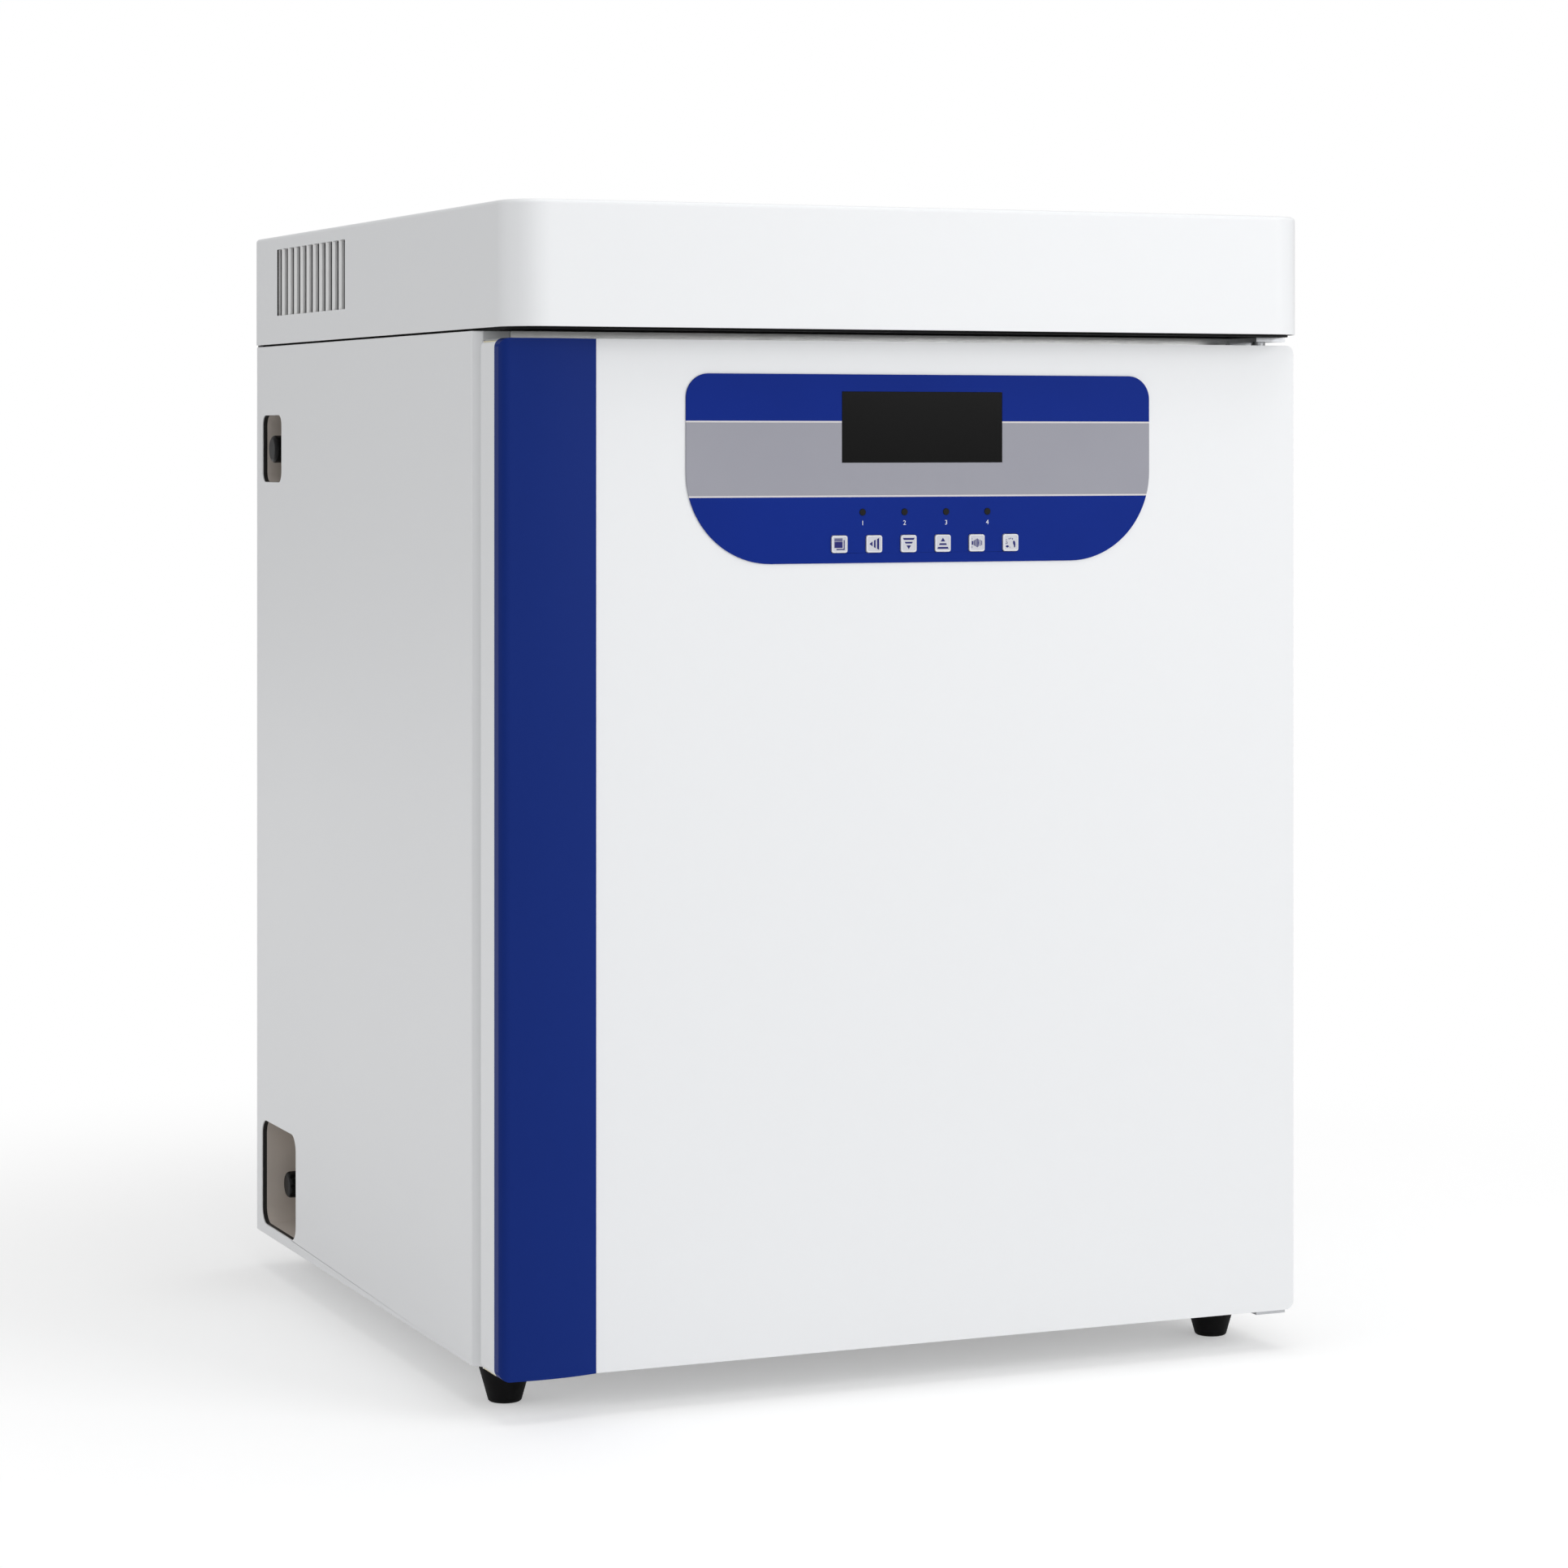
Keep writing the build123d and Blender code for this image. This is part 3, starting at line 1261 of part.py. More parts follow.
def glass_hinge_brackets():
    """Brackets on the front frame with the pins of the glass door."""
    axis_xy = (glass_pivot_x, glass_pivot_y)
    brackets = []
    for level, way in clamp_levels():
        near = level - way * seat_gap
        zs = sorted((near, near - way * glass_bracket_height))
        ys = (glass_pivot_y - glass_bracket_nose, front_y)
        bracket = block(around(glass_pivot_x, glass_bracket_width), ys, zs)
        pin_end = level + way * (glass_clamp_height - glass_clamp_floor - glass_pin_clearance)
        brackets.append(bracket + rod(glass_pin_radius, (*axis_xy, near), (*axis_xy, pin_end)))
    return brackets


def glass_knob():
    """Pull knob near the free edge of the glass."""
    middle = (-glass_right + glass_knob_inset, glass_front_y, (glass_top_z + glass_bottom_z) / 2)
    head = (glass_knob_radius, glass_knob_depth - glass_knob_stem)
    return turned([(glass_knob_stem_radius, glass_knob_stem), head], middle, (0, -1, 0))


def build():
    """Every node by name, as one solid or a list of separate solids."""
    nodes = {
        "base_pan": base_pan(),
        "left_side_panel": left_side_panel(),
        "right_side_panel": side_panel(1),
        "rear_panel": rear_panel(),
        "case_screws": case_screws(),
        "feet": feet(),
        "front_frame": front_frame(),
        "header_floor": header_floor(),
        "header_cover": header_cover(),
        "vent_grilles": vent_grilles(),
        "chamber_liner": chamber_liner(),
        "jacket_tank": jacket_tank(),
        "case_insulation": case_insulation(),
        "jacket_heater": jacket_heater(),
        "shelf_racks": shelf_racks(),
        "water_pan": water_pan(),
        "fan_wheel": fan_wheel(),
        "fan_motor": fan_motor(),
        "fan_cover": fan_cover(),
        "uv_lamp": uv_lamp(),
        "chamber_sensors": chamber_sensors(),
        "upper_port_recess": port_recess(upper_recess, fill_neck_radius),
        "lower_port_recess": port_recess(lower_recess, valve_radius),
        "fill_port": fill_port(),
        "fill_cap": fill_cap(),
        "drain_valve": drain_valve(),
        "drain_knob": drain_knob(),
        "jacket_pipes": jacket_pipes(),
        "gas_inlet": gas_inlet(),
        "gas_valve": gas_valve(),
        "gas_line": gas_line(),
        "power_entry": power_entry(),
        "power_rocker": power_rocker(),
        "power_supply": power_supply(),
        "control_board": control_board(),
        "door_hinge_brackets": door_hinge_brackets(),
        "hinge_bushes": hinge_bushes(),
        "door_outer_panel": door_outer_panel(),
        "door_inner_panel": door_inner_panel(),
        "door_insulation": door_insulation(),
        "door_gasket": door_gasket(),
        "handle_strip": handle_strip(),
        "control_overlay": control_overlay(),
        "display_window": display_window(),
        "key_board": key_board(),
        "indicator_lamps": indicator_lamps(),
        "glass_door_gasket": glass_door_gasket(),
        "glass_pane": glass_pane(),
        "glass_hinge_clamps": glass_hinge_clamps(),
        "glass_hinge_brackets": glass_hinge_brackets(),
        "glass_knob": glass_knob(),
    }
    for name, z in zip(shelf_names, shelf_heights()):
        nodes[name] = shelf(z)
    for name, x in zip(key_names, key_places()):
        nodes[f"{name}_key"] = key_cap(x)
    return nodes


os.makedirs("parts", exist_ok=True)
for node_name, solids in build().items():
    shape = Compound(children=[Compound(s.wrapped) for s in solids]) if isinstance(solids, list) else solids
    export_step(shape, f"parts/{node_name}.step")
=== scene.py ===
import math
import bmesh
import bpy
from mathutils import Matrix, Vector


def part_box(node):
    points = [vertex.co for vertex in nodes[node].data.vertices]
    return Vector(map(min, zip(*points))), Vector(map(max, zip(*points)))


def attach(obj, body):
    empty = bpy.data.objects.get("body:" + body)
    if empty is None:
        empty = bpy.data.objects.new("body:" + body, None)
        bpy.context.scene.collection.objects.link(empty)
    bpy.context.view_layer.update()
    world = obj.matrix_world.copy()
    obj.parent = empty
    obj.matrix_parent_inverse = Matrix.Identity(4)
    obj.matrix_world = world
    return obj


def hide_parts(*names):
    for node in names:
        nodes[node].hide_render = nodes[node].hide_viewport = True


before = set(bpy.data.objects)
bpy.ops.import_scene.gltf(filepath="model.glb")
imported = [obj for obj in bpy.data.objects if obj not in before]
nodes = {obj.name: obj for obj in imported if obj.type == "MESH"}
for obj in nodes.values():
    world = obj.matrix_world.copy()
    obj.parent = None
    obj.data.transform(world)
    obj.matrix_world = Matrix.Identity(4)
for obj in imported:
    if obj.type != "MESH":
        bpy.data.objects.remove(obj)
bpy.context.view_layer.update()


# Case: base pan, side panels and rear panel. The real pieces are 1.2 mm sheet steel, folded and powder
# coated in a cool white with a satin gloss and a faint orange peel.

class Wire:
    """One socket of a shader tree, which takes part in plain arithmetic."""

    def __init__(self, finish, socket):
        self.finish = finish
        self.socket = socket

    def maths(self, operation, *values):
        return self.finish.node("Math", {"operation": operation}, dict(enumerate(values)))

    def __add__(self, other):
        return self.maths("ADD", self, other)

    def __sub__(self, other):
        return self.maths("SUBTRACT", self, other)

    def __rsub__(self, other):
        return self.maths("SUBTRACT", other, self)

    def __mul__(self, other):
        return self.maths("MULTIPLY", self, other)

    def __gt__(self, other):
        return self.maths("GREATER_THAN", self, other)

    def __lt__(self, other):
        return self.maths("LESS_THAN", self, other)

    def __abs__(self):
        return self.maths("ABSOLUTE", self)

    __radd__ = __add__
    __rmul__ = __mul__


class Finish:
    """A material and the nodes that vary it over the surface."""

    def __init__(self, name, colour, roughness, **fixed):
        self.material = bpy.data.materials.new(name)
        self.material.use_nodes = True
        self.tree = self.material.node_tree
        self.shader = self.tree.nodes["Principled BSDF"]
        self.colour = (*colour, 1.0)
        self.roughness = roughness
        self.set(Base_Color=self.colour, Roughness=roughness, **fixed)

    def node(self, kind, settings=None, values=None, output=0):
        """Adds one node: its settings first, then the values or links of its sockets."""
        made = self.tree.nodes.new("ShaderNode" + kind)
        for key, value in (settings or {}).items():
            setattr(made, key, value)
        for key, value in (values or {}).items():
            self.feed(made.inputs[key], value)
        return Wire(self, made.outputs[output])

    def feed(self, socket, value):
        if isinstance(value, Wire):
            self.tree.links.new(value.socket, socket)
        else:
            socket.default_value = value

    def set(self, **values):
        """Sets the shader's own sockets, with spaces in their names written as underscores."""
        for key, value in values.items():
            self.feed(self.shader.inputs[key.replace("_", " ")], value)

    def place(self):
        return self.node("TexCoord", output="Object")

    def axes(self):
        parts = self.node("SeparateXYZ", values={0: self.place()})
        outputs = parts.socket.node.outputs
        return [Wire(self, outputs[index]) for index in range(3)]

    def noise(self, size, detail=2.0, stretch=(1.0, 1.0, 1.0)):
        """Noise with features of about the given size in metres, from 0 to 1."""
        spread = self.node("Mapping", values={0: self.place(), "Scale": stretch})
        return self.node("TexNoise", values={"Vector": spread, "Scale": 1.0 / size, "Detail": detail})

    def mix(self, factor, first, second):
        """Colour mix of two colours or wires."""
        ends = {0: factor, 6: first, 7: second}
        return self.node("Mix", {"data_type": "RGBA"}, ends, output=2)

    def shade(self, amount):
        """The base colour made darker by an amount."""
        return tuple(channel * (1.0 - amount) for channel in self.colour[:3]) + (1.0,)

    def relief(self, height, depth, strength=1.0):
        """Feeds a bump of the given depth in metres to the shader."""
        values = {"Height": height, "Distance": depth, "Strength": strength}
        self.set(Normal=self.node("Bump", values=values))
        return self

    def vary(self, size, tone, gloss, detail=3.0):
        """Slow change of colour and gloss over a piece."""
        cloud = self.noise(size, detail)
        self.set(Base_Color=self.mix(cloud, self.colour, self.shade(tone)))
        self.set(Roughness=self.roughness + (cloud - 0.5) * gloss)
        return self


def wear(finish, *names):
    """Gives CAD nodes their finish."""
    for name in names:
        mesh = nodes[name].data
        mesh.materials.clear()
        mesh.materials.append(finish.material)


def ease(width, *names):
    """Rounds the sharp edges of CAD nodes by a small radius, as folding and coating do."""
    for name in names:
        piece = nodes[name]
        if "custom_normal" in piece.data.attributes:
            piece.data.attributes.remove(piece.data.attributes["custom_normal"])
        piece.data.shade_smooth()
        piece.modifiers.new("weld", "WELD").merge_threshold = 0.00001
        bevel = piece.modifiers.new("bevel", "BEVEL")
        bevel.width = width
        bevel.segments = 2
        bevel.limit_method = "ANGLE"
        bevel.angle_limit = math.radians(32.0)
        bevel.harden_normals = True
        normals = piece.modifiers.new("normals", "WEIGHTED_NORMAL")
        normals.keep_sharp = True


coat_white, coat_gloss = (0.900, 0.910, 0.925), 0.34
powder_coat = Finish("powder_coat_white", coat_white, coat_gloss, Specular_IOR_Level=0.4)
powder_coat.vary(0.35, 0.012, 0.05)
powder_coat.relief(powder_coat.noise(0.0022, 2.0), 0.00004, 0.35)
wear(powder_coat, "base_pan", "left_side_panel", "right_side_panel", "rear_panel")
ease(0.0005, "base_pan", "left_side_panel", "right_side_panel")

# Deck under the header: the same sheet steel, coloured matt black as painted shade, so the gap above the
# door stays dark as it does in shadow.
painted_shade_black = Finish("painted_shade_black", (0.006, 0.006, 0.0065), 0.7, Specular_IOR_Level=0.15)
painted_shade_black.vary(0.02, 0.2, 0.1)
painted_shade_black.relief(painted_shade_black.noise(0.0012, 2.0), 0.00003, 0.4)
wear(painted_shade_black, "header_floor")
ease(0.0005, "header_floor")

# Hood: powder coated outside. Its inside faces are coloured matt black as painted shade, which keeps its
# vents dark. A face that looks towards the middle of the hood is an inside face.
hood_coat = Finish("hood_coat", coat_white, coat_gloss, Specular_IOR_Level=0.4)
hood_low, hood_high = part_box("header_cover")
hood_middle = tuple((low + high) / 2 for low, high in zip(hood_low, hood_high))
outward = hood_coat.node("VectorMath", {"operation": "SUBTRACT"}, {0: hood_coat.place(), 1: hood_middle})
facing = hood_coat.node("VectorMath", {"operation": "DOT_PRODUCT"}, {
    0: hood_coat.node("NewGeometry", output="True Normal"), 1: outward}, output=1)
shade_inside = facing < 0.0
hood_cloud = hood_coat.noise(0.35, 3.0)
hood_tone = hood_coat.mix(hood_cloud, hood_coat.colour, hood_coat.shade(0.012))
# Inside faces take the painted shade black.
hood_coat.set(Base_Color=hood_coat.mix(shade_inside, hood_tone, painted_shade_black.colour))
hood_coat.set(Roughness=hood_coat.roughness + (hood_cloud - 0.5) * 0.05 + shade_inside * 0.36)
hood_coat.relief(hood_coat.noise(0.0022, 2.0), 0.00004, 0.35)
wear(hood_coat, "header_cover")
ease(0.0005, "header_cover")

# Feet: four tapered moulded rubber feet with a fine matt grain, each screwed through the base pan.
foot_rubber = Finish("foot_rubber", (0.0040, 0.0040, 0.0042), 0.66, Specular_IOR_Level=0.12)
foot_rubber.vary(0.01, 0.3, 0.12)
foot_rubber.relief(foot_rubber.noise(0.0008, 3.0), 0.00008, 0.5)
wear(foot_rubber, "feet")

# Hinge brackets and the supply's case: zinc plated steel with a slightly mottled, cool sheen.
zinc = Finish("zinc_plate", (0.55, 0.56, 0.58), 0.36, Metallic=1.0)
zinc.vary(0.004, 0.18, 0.16, 4.0)
zinc.relief(zinc.noise(0.0006, 2.0), 0.00002, 0.4)
wear(zinc, "door_hinge_brackets", "power_supply")
ease(0.0004, "door_hinge_brackets", "power_supply")

# Rear screws: six zinc plated pan head machine screws with a cross recess, through the rear panel into
# the flanges of the side panels. Each is turned to a different angle, as screws are when they are driven.


class Geometry:
    """A geometry tree with named inputs, built one node at a time."""

    def __init__(self, name, **inputs):
        self.tree = bpy.data.node_groups.new(name, "GeometryNodeTree")
        self.tree.interface.new_socket("Geometry", in_out="INPUT", socket_type="NodeSocketGeometry")
        self.tree.interface.new_socket("Geometry", in_out="OUTPUT", socket_type="NodeSocketGeometry")
        for key, value in inputs.items():
            whole = isinstance(value, int)
            kind = "NodeSocketInt" if whole else "NodeSocketFloat"
            self.tree.interface.new_socket(key, in_out="INPUT", socket_type=kind)
        self.values = inputs
        self.entry = self.tree.nodes.new("NodeGroupInput")
        self.exit = self.tree.nodes.new("NodeGroupOutput")

    def node(self, kind, settings=None, values=None, output=0):
        """Adds one node: its settings first, then the values or links of its sockets."""
        made = self.tree.nodes.new(kind)
        for key, value in (settings or {}).items():
            setattr(made, key, value)
        for key, value in (values or {}).items():
            for part in value if isinstance(value, list) else [value]:
                if isinstance(part, bpy.types.NodeSocket):
                    self.tree.links.new(part, made.inputs[key])
                else:
                    made.inputs[key].default_value = part
        return made.outputs[output]

    def sum(self, operation, first, second):
        return self.node("ShaderNodeMath", {"operation": operation}, {0: first, 1: second})

    def input(self, name):
        return self.entry.outputs[name]

    def finish(self, geometry, material):
        """Ends the tree in real geometry with its material."""
        real = self.node("GeometryNodeRealizeInstances", values={0: geometry})
        painted = self.node("GeometryNodeSetMaterial", values={0: real, "Material": material})
        self.tree.links.new(painted, self.exit.inputs[0])

    def mesh(self, name, points):
        """Runs the tree on a mesh of loose points and returns the plain result as an object."""
        cloud = bpy.data.meshes.new(name + "_points")
        cloud.from_pydata(points, [], [])
        maker = bpy.data.objects.new(name, cloud)
        bpy.context.scene.collection.objects.link(maker)
        modifier = maker.modifiers.new("geometry", "NODES")
        modifier.node_group = self.tree
        for item in self.tree.interface.items_tree:
            if item.in_out == "INPUT" and item.name in self.values:
                modifier[item.identifier] = self.values[item.name]
        ready = maker.evaluated_get(bpy.context.evaluated_depsgraph_get())
        result = bpy.data.meshes.new_from_object(ready)
        maker.modifiers.clear()
        maker.data = result
        result.name = name
        bpy.data.meshes.remove(cloud)
        return maker


screw = Geometry("pan_head_screw", Head_radius=0.0036, Head_height=0.0020, Cross_width=0.0009,
                 Cross_length=0.0042, Cross_depth=0.0012, Seed=7)
head = screw.node("GeometryNodeMeshCylinder", {"fill_type": "NGON"}, {
    "Vertices": 28, "Radius": screw.input("Head_radius"), "Depth": screw.input("Head_height")})
bars = []
for turn in (0.0, math.pi / 2):
    size = screw.node("ShaderNodeCombineXYZ", values={
        0: screw.input("Cross_length"), 1: screw.input("Cross_width"), 2: screw.input("Cross_depth")})
    bar = screw.node("GeometryNodeMeshCube", values={"Size": size})
    lift = screw.sum("MULTIPLY", screw.input("Head_height"), 0.5)
    offset = screw.node("ShaderNodeCombineXYZ", values={2: lift})
    bars.append(screw.node("GeometryNodeTransform", values={
        0: bar, "Translation": offset, "Rotation": (0.0, 0.0, turn)}))
head = screw.node("GeometryNodeMeshBoolean", {"operation": "DIFFERENCE"}, {0: head, 1: bars})
facing = screw.node("GeometryNodeTransform", values={0: head, "Rotation": (-math.pi / 2, 0.0, 0.0)})
angle = screw.node("FunctionNodeRandomValue", {"data_type": "FLOAT"}, {
    2: 0.0, 3: math.pi, "Seed": screw.input("Seed")}, output=1)
turned = screw.node("ShaderNodeCombineXYZ", values={1: angle})
screws = screw.node("GeometryNodeInstanceOnPoints", values={
    0: screw.input("Geometry"), "Instance": facing, "Rotation": turned})
screw.finish(screws, zinc.material)
screw_x, screw_y, screw_heights = 0.2868, 0.2885, (0.068, 0.3705, 0.683)
screw_spots = [(x, screw_y, z) for x in (-screw_x, screw_x) for z in screw_heights]
rear_screws = screw.mesh("rear_screws", screw_spots)
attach(rear_screws, "cabinet")
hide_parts("case_screws")

# Vent grilles: one moulded white grille behind an opening on each side of the header.
grille_plastic = Finish("grille_plastic", (0.93, 0.93, 0.93), 0.45)
grille_plastic.vary(0.05, 0.02, 0.08)
grille_plastic.relief(grille_plastic.noise(0.0007, 2.0), 0.00002, 0.5)
wear(grille_plastic, "vent_grilles")
ease(0.0003, "vent_grilles")

# Chamber, jacket and inner fittings: stainless steel. Flat sheet is brushed along one way, and the
# deep drawn liner has a soft polish.


def brushed(name, colour, roughness, stretch):
    """Stainless steel with fine brush lines along the axis that is stretched least."""
    steel = Finish(name, colour, roughness, Metallic=1.0, Anisotropic=0.35)
    lines = steel.noise(0.02, 3.0, stretch)
    steel.set(Base_Color=steel.mix(lines, steel.colour, steel.shade(0.12)))
    steel.set(Roughness=roughness + (lines - 0.5) * 0.16)
    steel.relief(lines, 0.00002, 0.25)
    return steel


liner_steel = brushed("liner_steel", (0.66, 0.665, 0.66), 0.24, (1.0, 1.0, 50.0))
wear(liner_steel, "chamber_liner", "jacket_tank", "front_frame", "door_inner_panel", "water_pan")
shelf_steel = brushed("shelf_steel", (0.62, 0.62, 0.61), 0.28, (1.0, 50.0, 50.0))
wear(shelf_steel, "lower_shelf", "middle_shelf", "upper_shelf")
rack_steel = brushed("rack_steel", (0.60, 0.60, 0.595), 0.30, (50.0, 1.0, 50.0))
wear(rack_steel, "shelf_racks", "fan_cover", "chamber_sensors", "glass_hinge_brackets", "glass_hinge_clamps",
     "glass_knob", "fan_wheel")
tube_steel = Finish("tube_steel", (0.58, 0.58, 0.57), 0.25, Metallic=1.0)
tube_steel.vary(0.02, 0.15, 0.1)
tube_steel.relief(tube_steel.noise(0.001, 2.0), 0.00001, 0.3)
wear(tube_steel, "jacket_pipes", "gas_line")
ease(0.0004, "water_pan", "door_inner_panel", "fan_cover", "glass_hinge_brackets", "glass_hinge_clamps",
     "glass_knob")

# Insulation: rigid cream foam boards with a fine closed cell texture.
foam = Finish("rigid_foam", (0.86, 0.80, 0.60), 0.9)
foam.vary(0.02, 0.08, 0.05)
foam.relief(foam.node("TexVoronoi", values={"Vector": foam.place(), "Scale": 900.0}), 0.0002, 0.5)
wear(foam, "case_insulation", "door_insulation")

# Heating mat under the jacket, and the flexible seals: silicone rubber.
mat_rubber = Finish("mat_rubber", (0.30, 0.10, 0.06), 0.6)
weave = mat_rubber.node("TexChecker", values={"Vector": mat_rubber.place(), "Scale": 700.0}, output=1)
mat_rubber.relief(weave, 0.0001, 0.5)
wear(mat_rubber, "jacket_heater")
seal_rubber = Finish("seal_rubber", (0.05, 0.05, 0.052), 0.6)
seal_rubber.vary(0.03, 0.12, 0.08)
seal_rubber.relief(seal_rubber.noise(0.0008, 2.0), 0.00004, 0.4)
wear(seal_rubber, "door_gasket")
ease(0.0008, "door_gasket")
clear_silicone = Finish("white_silicone", (0.78, 0.78, 0.76), 0.45, Subsurface_Weight=0.1)
clear_silicone.vary(0.03, 0.06, 0.08)
clear_silicone.relief(clear_silicone.noise(0.001, 2.0), 0.00003, 0.4)
wear(clear_silicone, "glass_door_gasket")

# Side recesses: two tubs of warm grey moulded plastic behind the cut-outs of the left panel, with a thin
# dark edge where each meets the panel.
tub_plastic = Finish("tub_plastic", (0.66, 0.60, 0.545), 0.5)
tub_plastic.vary(0.03, 0.10, 0.1)
dark_edge_x, edge_black = -0.2908, (0.006, 0.006, 0.006, 1.0)
mouth = tub_plastic.axes()[0] < dark_edge_x
tub_tone = tub_plastic.mix(tub_plastic.noise(0.03, 3.0), tub_plastic.colour, tub_plastic.shade(0.10))
tub_plastic.set(Base_Color=tub_plastic.mix(mouth, tub_tone, edge_black))
tub_plastic.relief(tub_plastic.noise(0.0009, 3.0), 0.00005, 0.5)
wear(tub_plastic, "upper_port_recess", "lower_port_recess")
ease(0.0005, "upper_port_recess", "lower_port_recess")

# Ports: a brass filling neck and a nickel plated drain valve, with a black moulded cap and a black
# fluted knob.
brass = Finish("machined_brass", (0.62, 0.45, 0.22), 0.26, Metallic=1.0)
brass.vary(0.01, 0.15, 0.1)
brass.relief(brass.noise(0.02, 2.0, (60.0, 1.0, 1.0)), 0.00002, 0.3)
wear(brass, "fill_port", "gas_inlet", "gas_valve")
nickel = Finish("nickel_plate", (0.82, 0.82, 0.80), 0.38, Metallic=0.6)
nickel.vary(0.006, 0.1, 0.1)
nickel.relief(nickel.noise(0.02, 2.0, (60.0, 1.0, 1.0)), 0.00002, 0.3)
wear(nickel, "drain_valve")
cap_plastic = Finish("cap_plastic", (0.0045, 0.0045, 0.005), 0.34, Specular_IOR_Level=0.14)
cap_plastic.vary(0.008, 0.2, 0.1)
cap_plastic.relief(cap_plastic.noise(0.0008, 2.0), 0.00003, 0.4)
wear(cap_plastic, "fill_cap", "drain_knob", "fan_motor", "power_entry", "power_rocker")
ease(0.0003, "fill_cap", "drain_knob", "power_entry", "power_rocker")

# Outer door: a pressed and folded steel skin in the same white powder coat, on two nylon bushes.
wear(powder_coat, "door_outer_panel")
ease(0.0008, "door_outer_panel")
bush_plastic = Finish("bush_plastic", (0.75, 0.74, 0.70), 0.5)
bush_plastic.vary(0.01, 0.1, 0.1)
wear(bush_plastic, "hinge_bushes")

# Handle strip: one full height moulding in blue plastic with a satin grain.
handle_plastic = Finish("handle_blue", (0.0055, 0.0245, 0.190), 0.46, Specular_IOR_Level=0.08)
handle_plastic.vary(0.12, 0.06, 0.06)
handle_plastic.relief(handle_plastic.noise(0.0009, 2.0), 0.00003, 0.4)
wear(handle_plastic, "handle_strip")
ease(0.0004, "handle_strip")

# Control panel: a film printed in blue with a silver band, on the door. The two thin light lines along the
# band's top and bottom edges are painted highlights.
film = Finish("panel_film", (0.0026, 0.0235, 0.255), 0.44, Specular_IOR_Level=0.08)
film_z = film.axes()[2]
band_low, band_high, highlight_width = 0.603, 0.653, 0.0011
band = (film_z > band_low) * (film_z < band_high)
# Painted highlight: a thin light line along each edge of the band.
band_edge_highlight = (abs(film_z - band_low) < highlight_width / 2) + (abs(film_z - band_high) < highlight_width / 2)
silver = film.mix(film.noise(0.06, 2.0), (0.345, 0.345, 0.395, 1.0), (0.370, 0.370, 0.415, 1.0))
printed = film.mix(band, film.mix(film.noise(0.08, 2.0), film.colour, film.shade(0.15)), silver)
film.set(Base_Color=film.mix(band_edge_highlight, printed, (0.72, 0.69, 0.69, 1.0)))
film.relief(film.noise(0.0006, 2.0), 0.00001, 0.4)
wear(film, "control_overlay")
ease(0.0003, "control_overlay")

# Display window: smoked acrylic over the display, black while it is off.
window = Finish("window_acrylic", (0.0050, 0.0050, 0.0050), 0.16, Specular_IOR_Level=0.10)
window.vary(0.03, 0.1, 0.03)
wear(window, "display_window")

# Lamps: four small dark lenses, unlit, each with its printed number in white under it.
lens = Finish("lamp_lens", (0.008, 0.008, 0.008), 0.35, Specular_IOR_Level=0.15)
lens.vary(0.002, 0.3, 0.1)
wear(lens, "indicator_lamps")
white_ink = Finish("white_ink", (0.86, 0.87, 0.92), 0.5)
white_ink.vary(0.0006, 0.10, 0.1)
film_front = -0.2939
number_height, number_size, number_thickness = 0.5848, 0.0044, 0.00003
first_lamp_x, lamp_pitch = -0.0373, 0.031
for number in range(1, 5):
    letters = bpy.data.curves.new(f"lamp_number_{number}", "FONT")
    letters.body = str(number)
    letters.size = number_size
    letters.align_x = "CENTER"
    letters.align_y = "CENTER"
    letters.extrude = number_thickness
    flat = bpy.data.objects.new("flat_number", letters)
    bpy.context.scene.collection.objects.link(flat)
    bpy.context.view_layer.update()
    mesh = bpy.data.meshes.new_from_object(flat.evaluated_get(bpy.context.evaluated_depsgraph_get()))
    bpy.data.objects.remove(flat)
    spot = Matrix.Translation((first_lamp_x + lamp_pitch * (number - 1), film_front, number_height))
    mesh.transform(spot @ Matrix.Rotation(math.pi / 2, 4, "X"))
    mesh.materials.clear()
    mesh.materials.append(white_ink.material)
    numeral = bpy.data.objects.new(f"lamp_number_{number}", mesh)
    bpy.context.scene.collection.objects.link(numeral)
    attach(numeral, "outer_door")

# Keys: six light grey caps, each with a raised white rim and a symbol printed in dark blue.
key_plastic = Finish("key_grey", (0.66, 0.665, 0.72), 0.42, Specular_IOR_Level=0.3)
key_plastic.vary(0.006, 0.1, 0.08)
key_plastic.relief(key_plastic.noise(0.0006, 2.0), 0.00002, 0.4)
rim_plastic = Finish("key_rim_white", (0.86, 0.865, 0.89), 0.4, Specular_IOR_Level=0.3)
rim_plastic.vary(0.004, 0.06, 0.08)
navy_ink = Finish("navy_ink", (0.018, 0.020, 0.180), 0.5, Specular_IOR_Level=0.2)
navy_ink.vary(0.002, 0.25, 0.1)
key_names = ["menu", "shift", "down", "up", "alarm", "lamp"]
key_front, key_z = -0.2948, 0.5708
first_key_x, key_pitch = -0.0546, 0.0255
key_half, key_corner, rim_width, rim_rise, ink_rise = 5.75, 1.5, 0.75, 0.35, 0.03


def bar(x0, x1, z0, z1):
    return [(x0, z0), (x1, z0), (x1, z1), (x0, z1)]


def ring(radius_x, radius_z, x, z, steps=14):
    turns = [2 * math.pi * step / steps for step in range(steps)]
    return [(x + radius_x * math.cos(turn), z + radius_z * math.sin(turn)) for turn in turns]


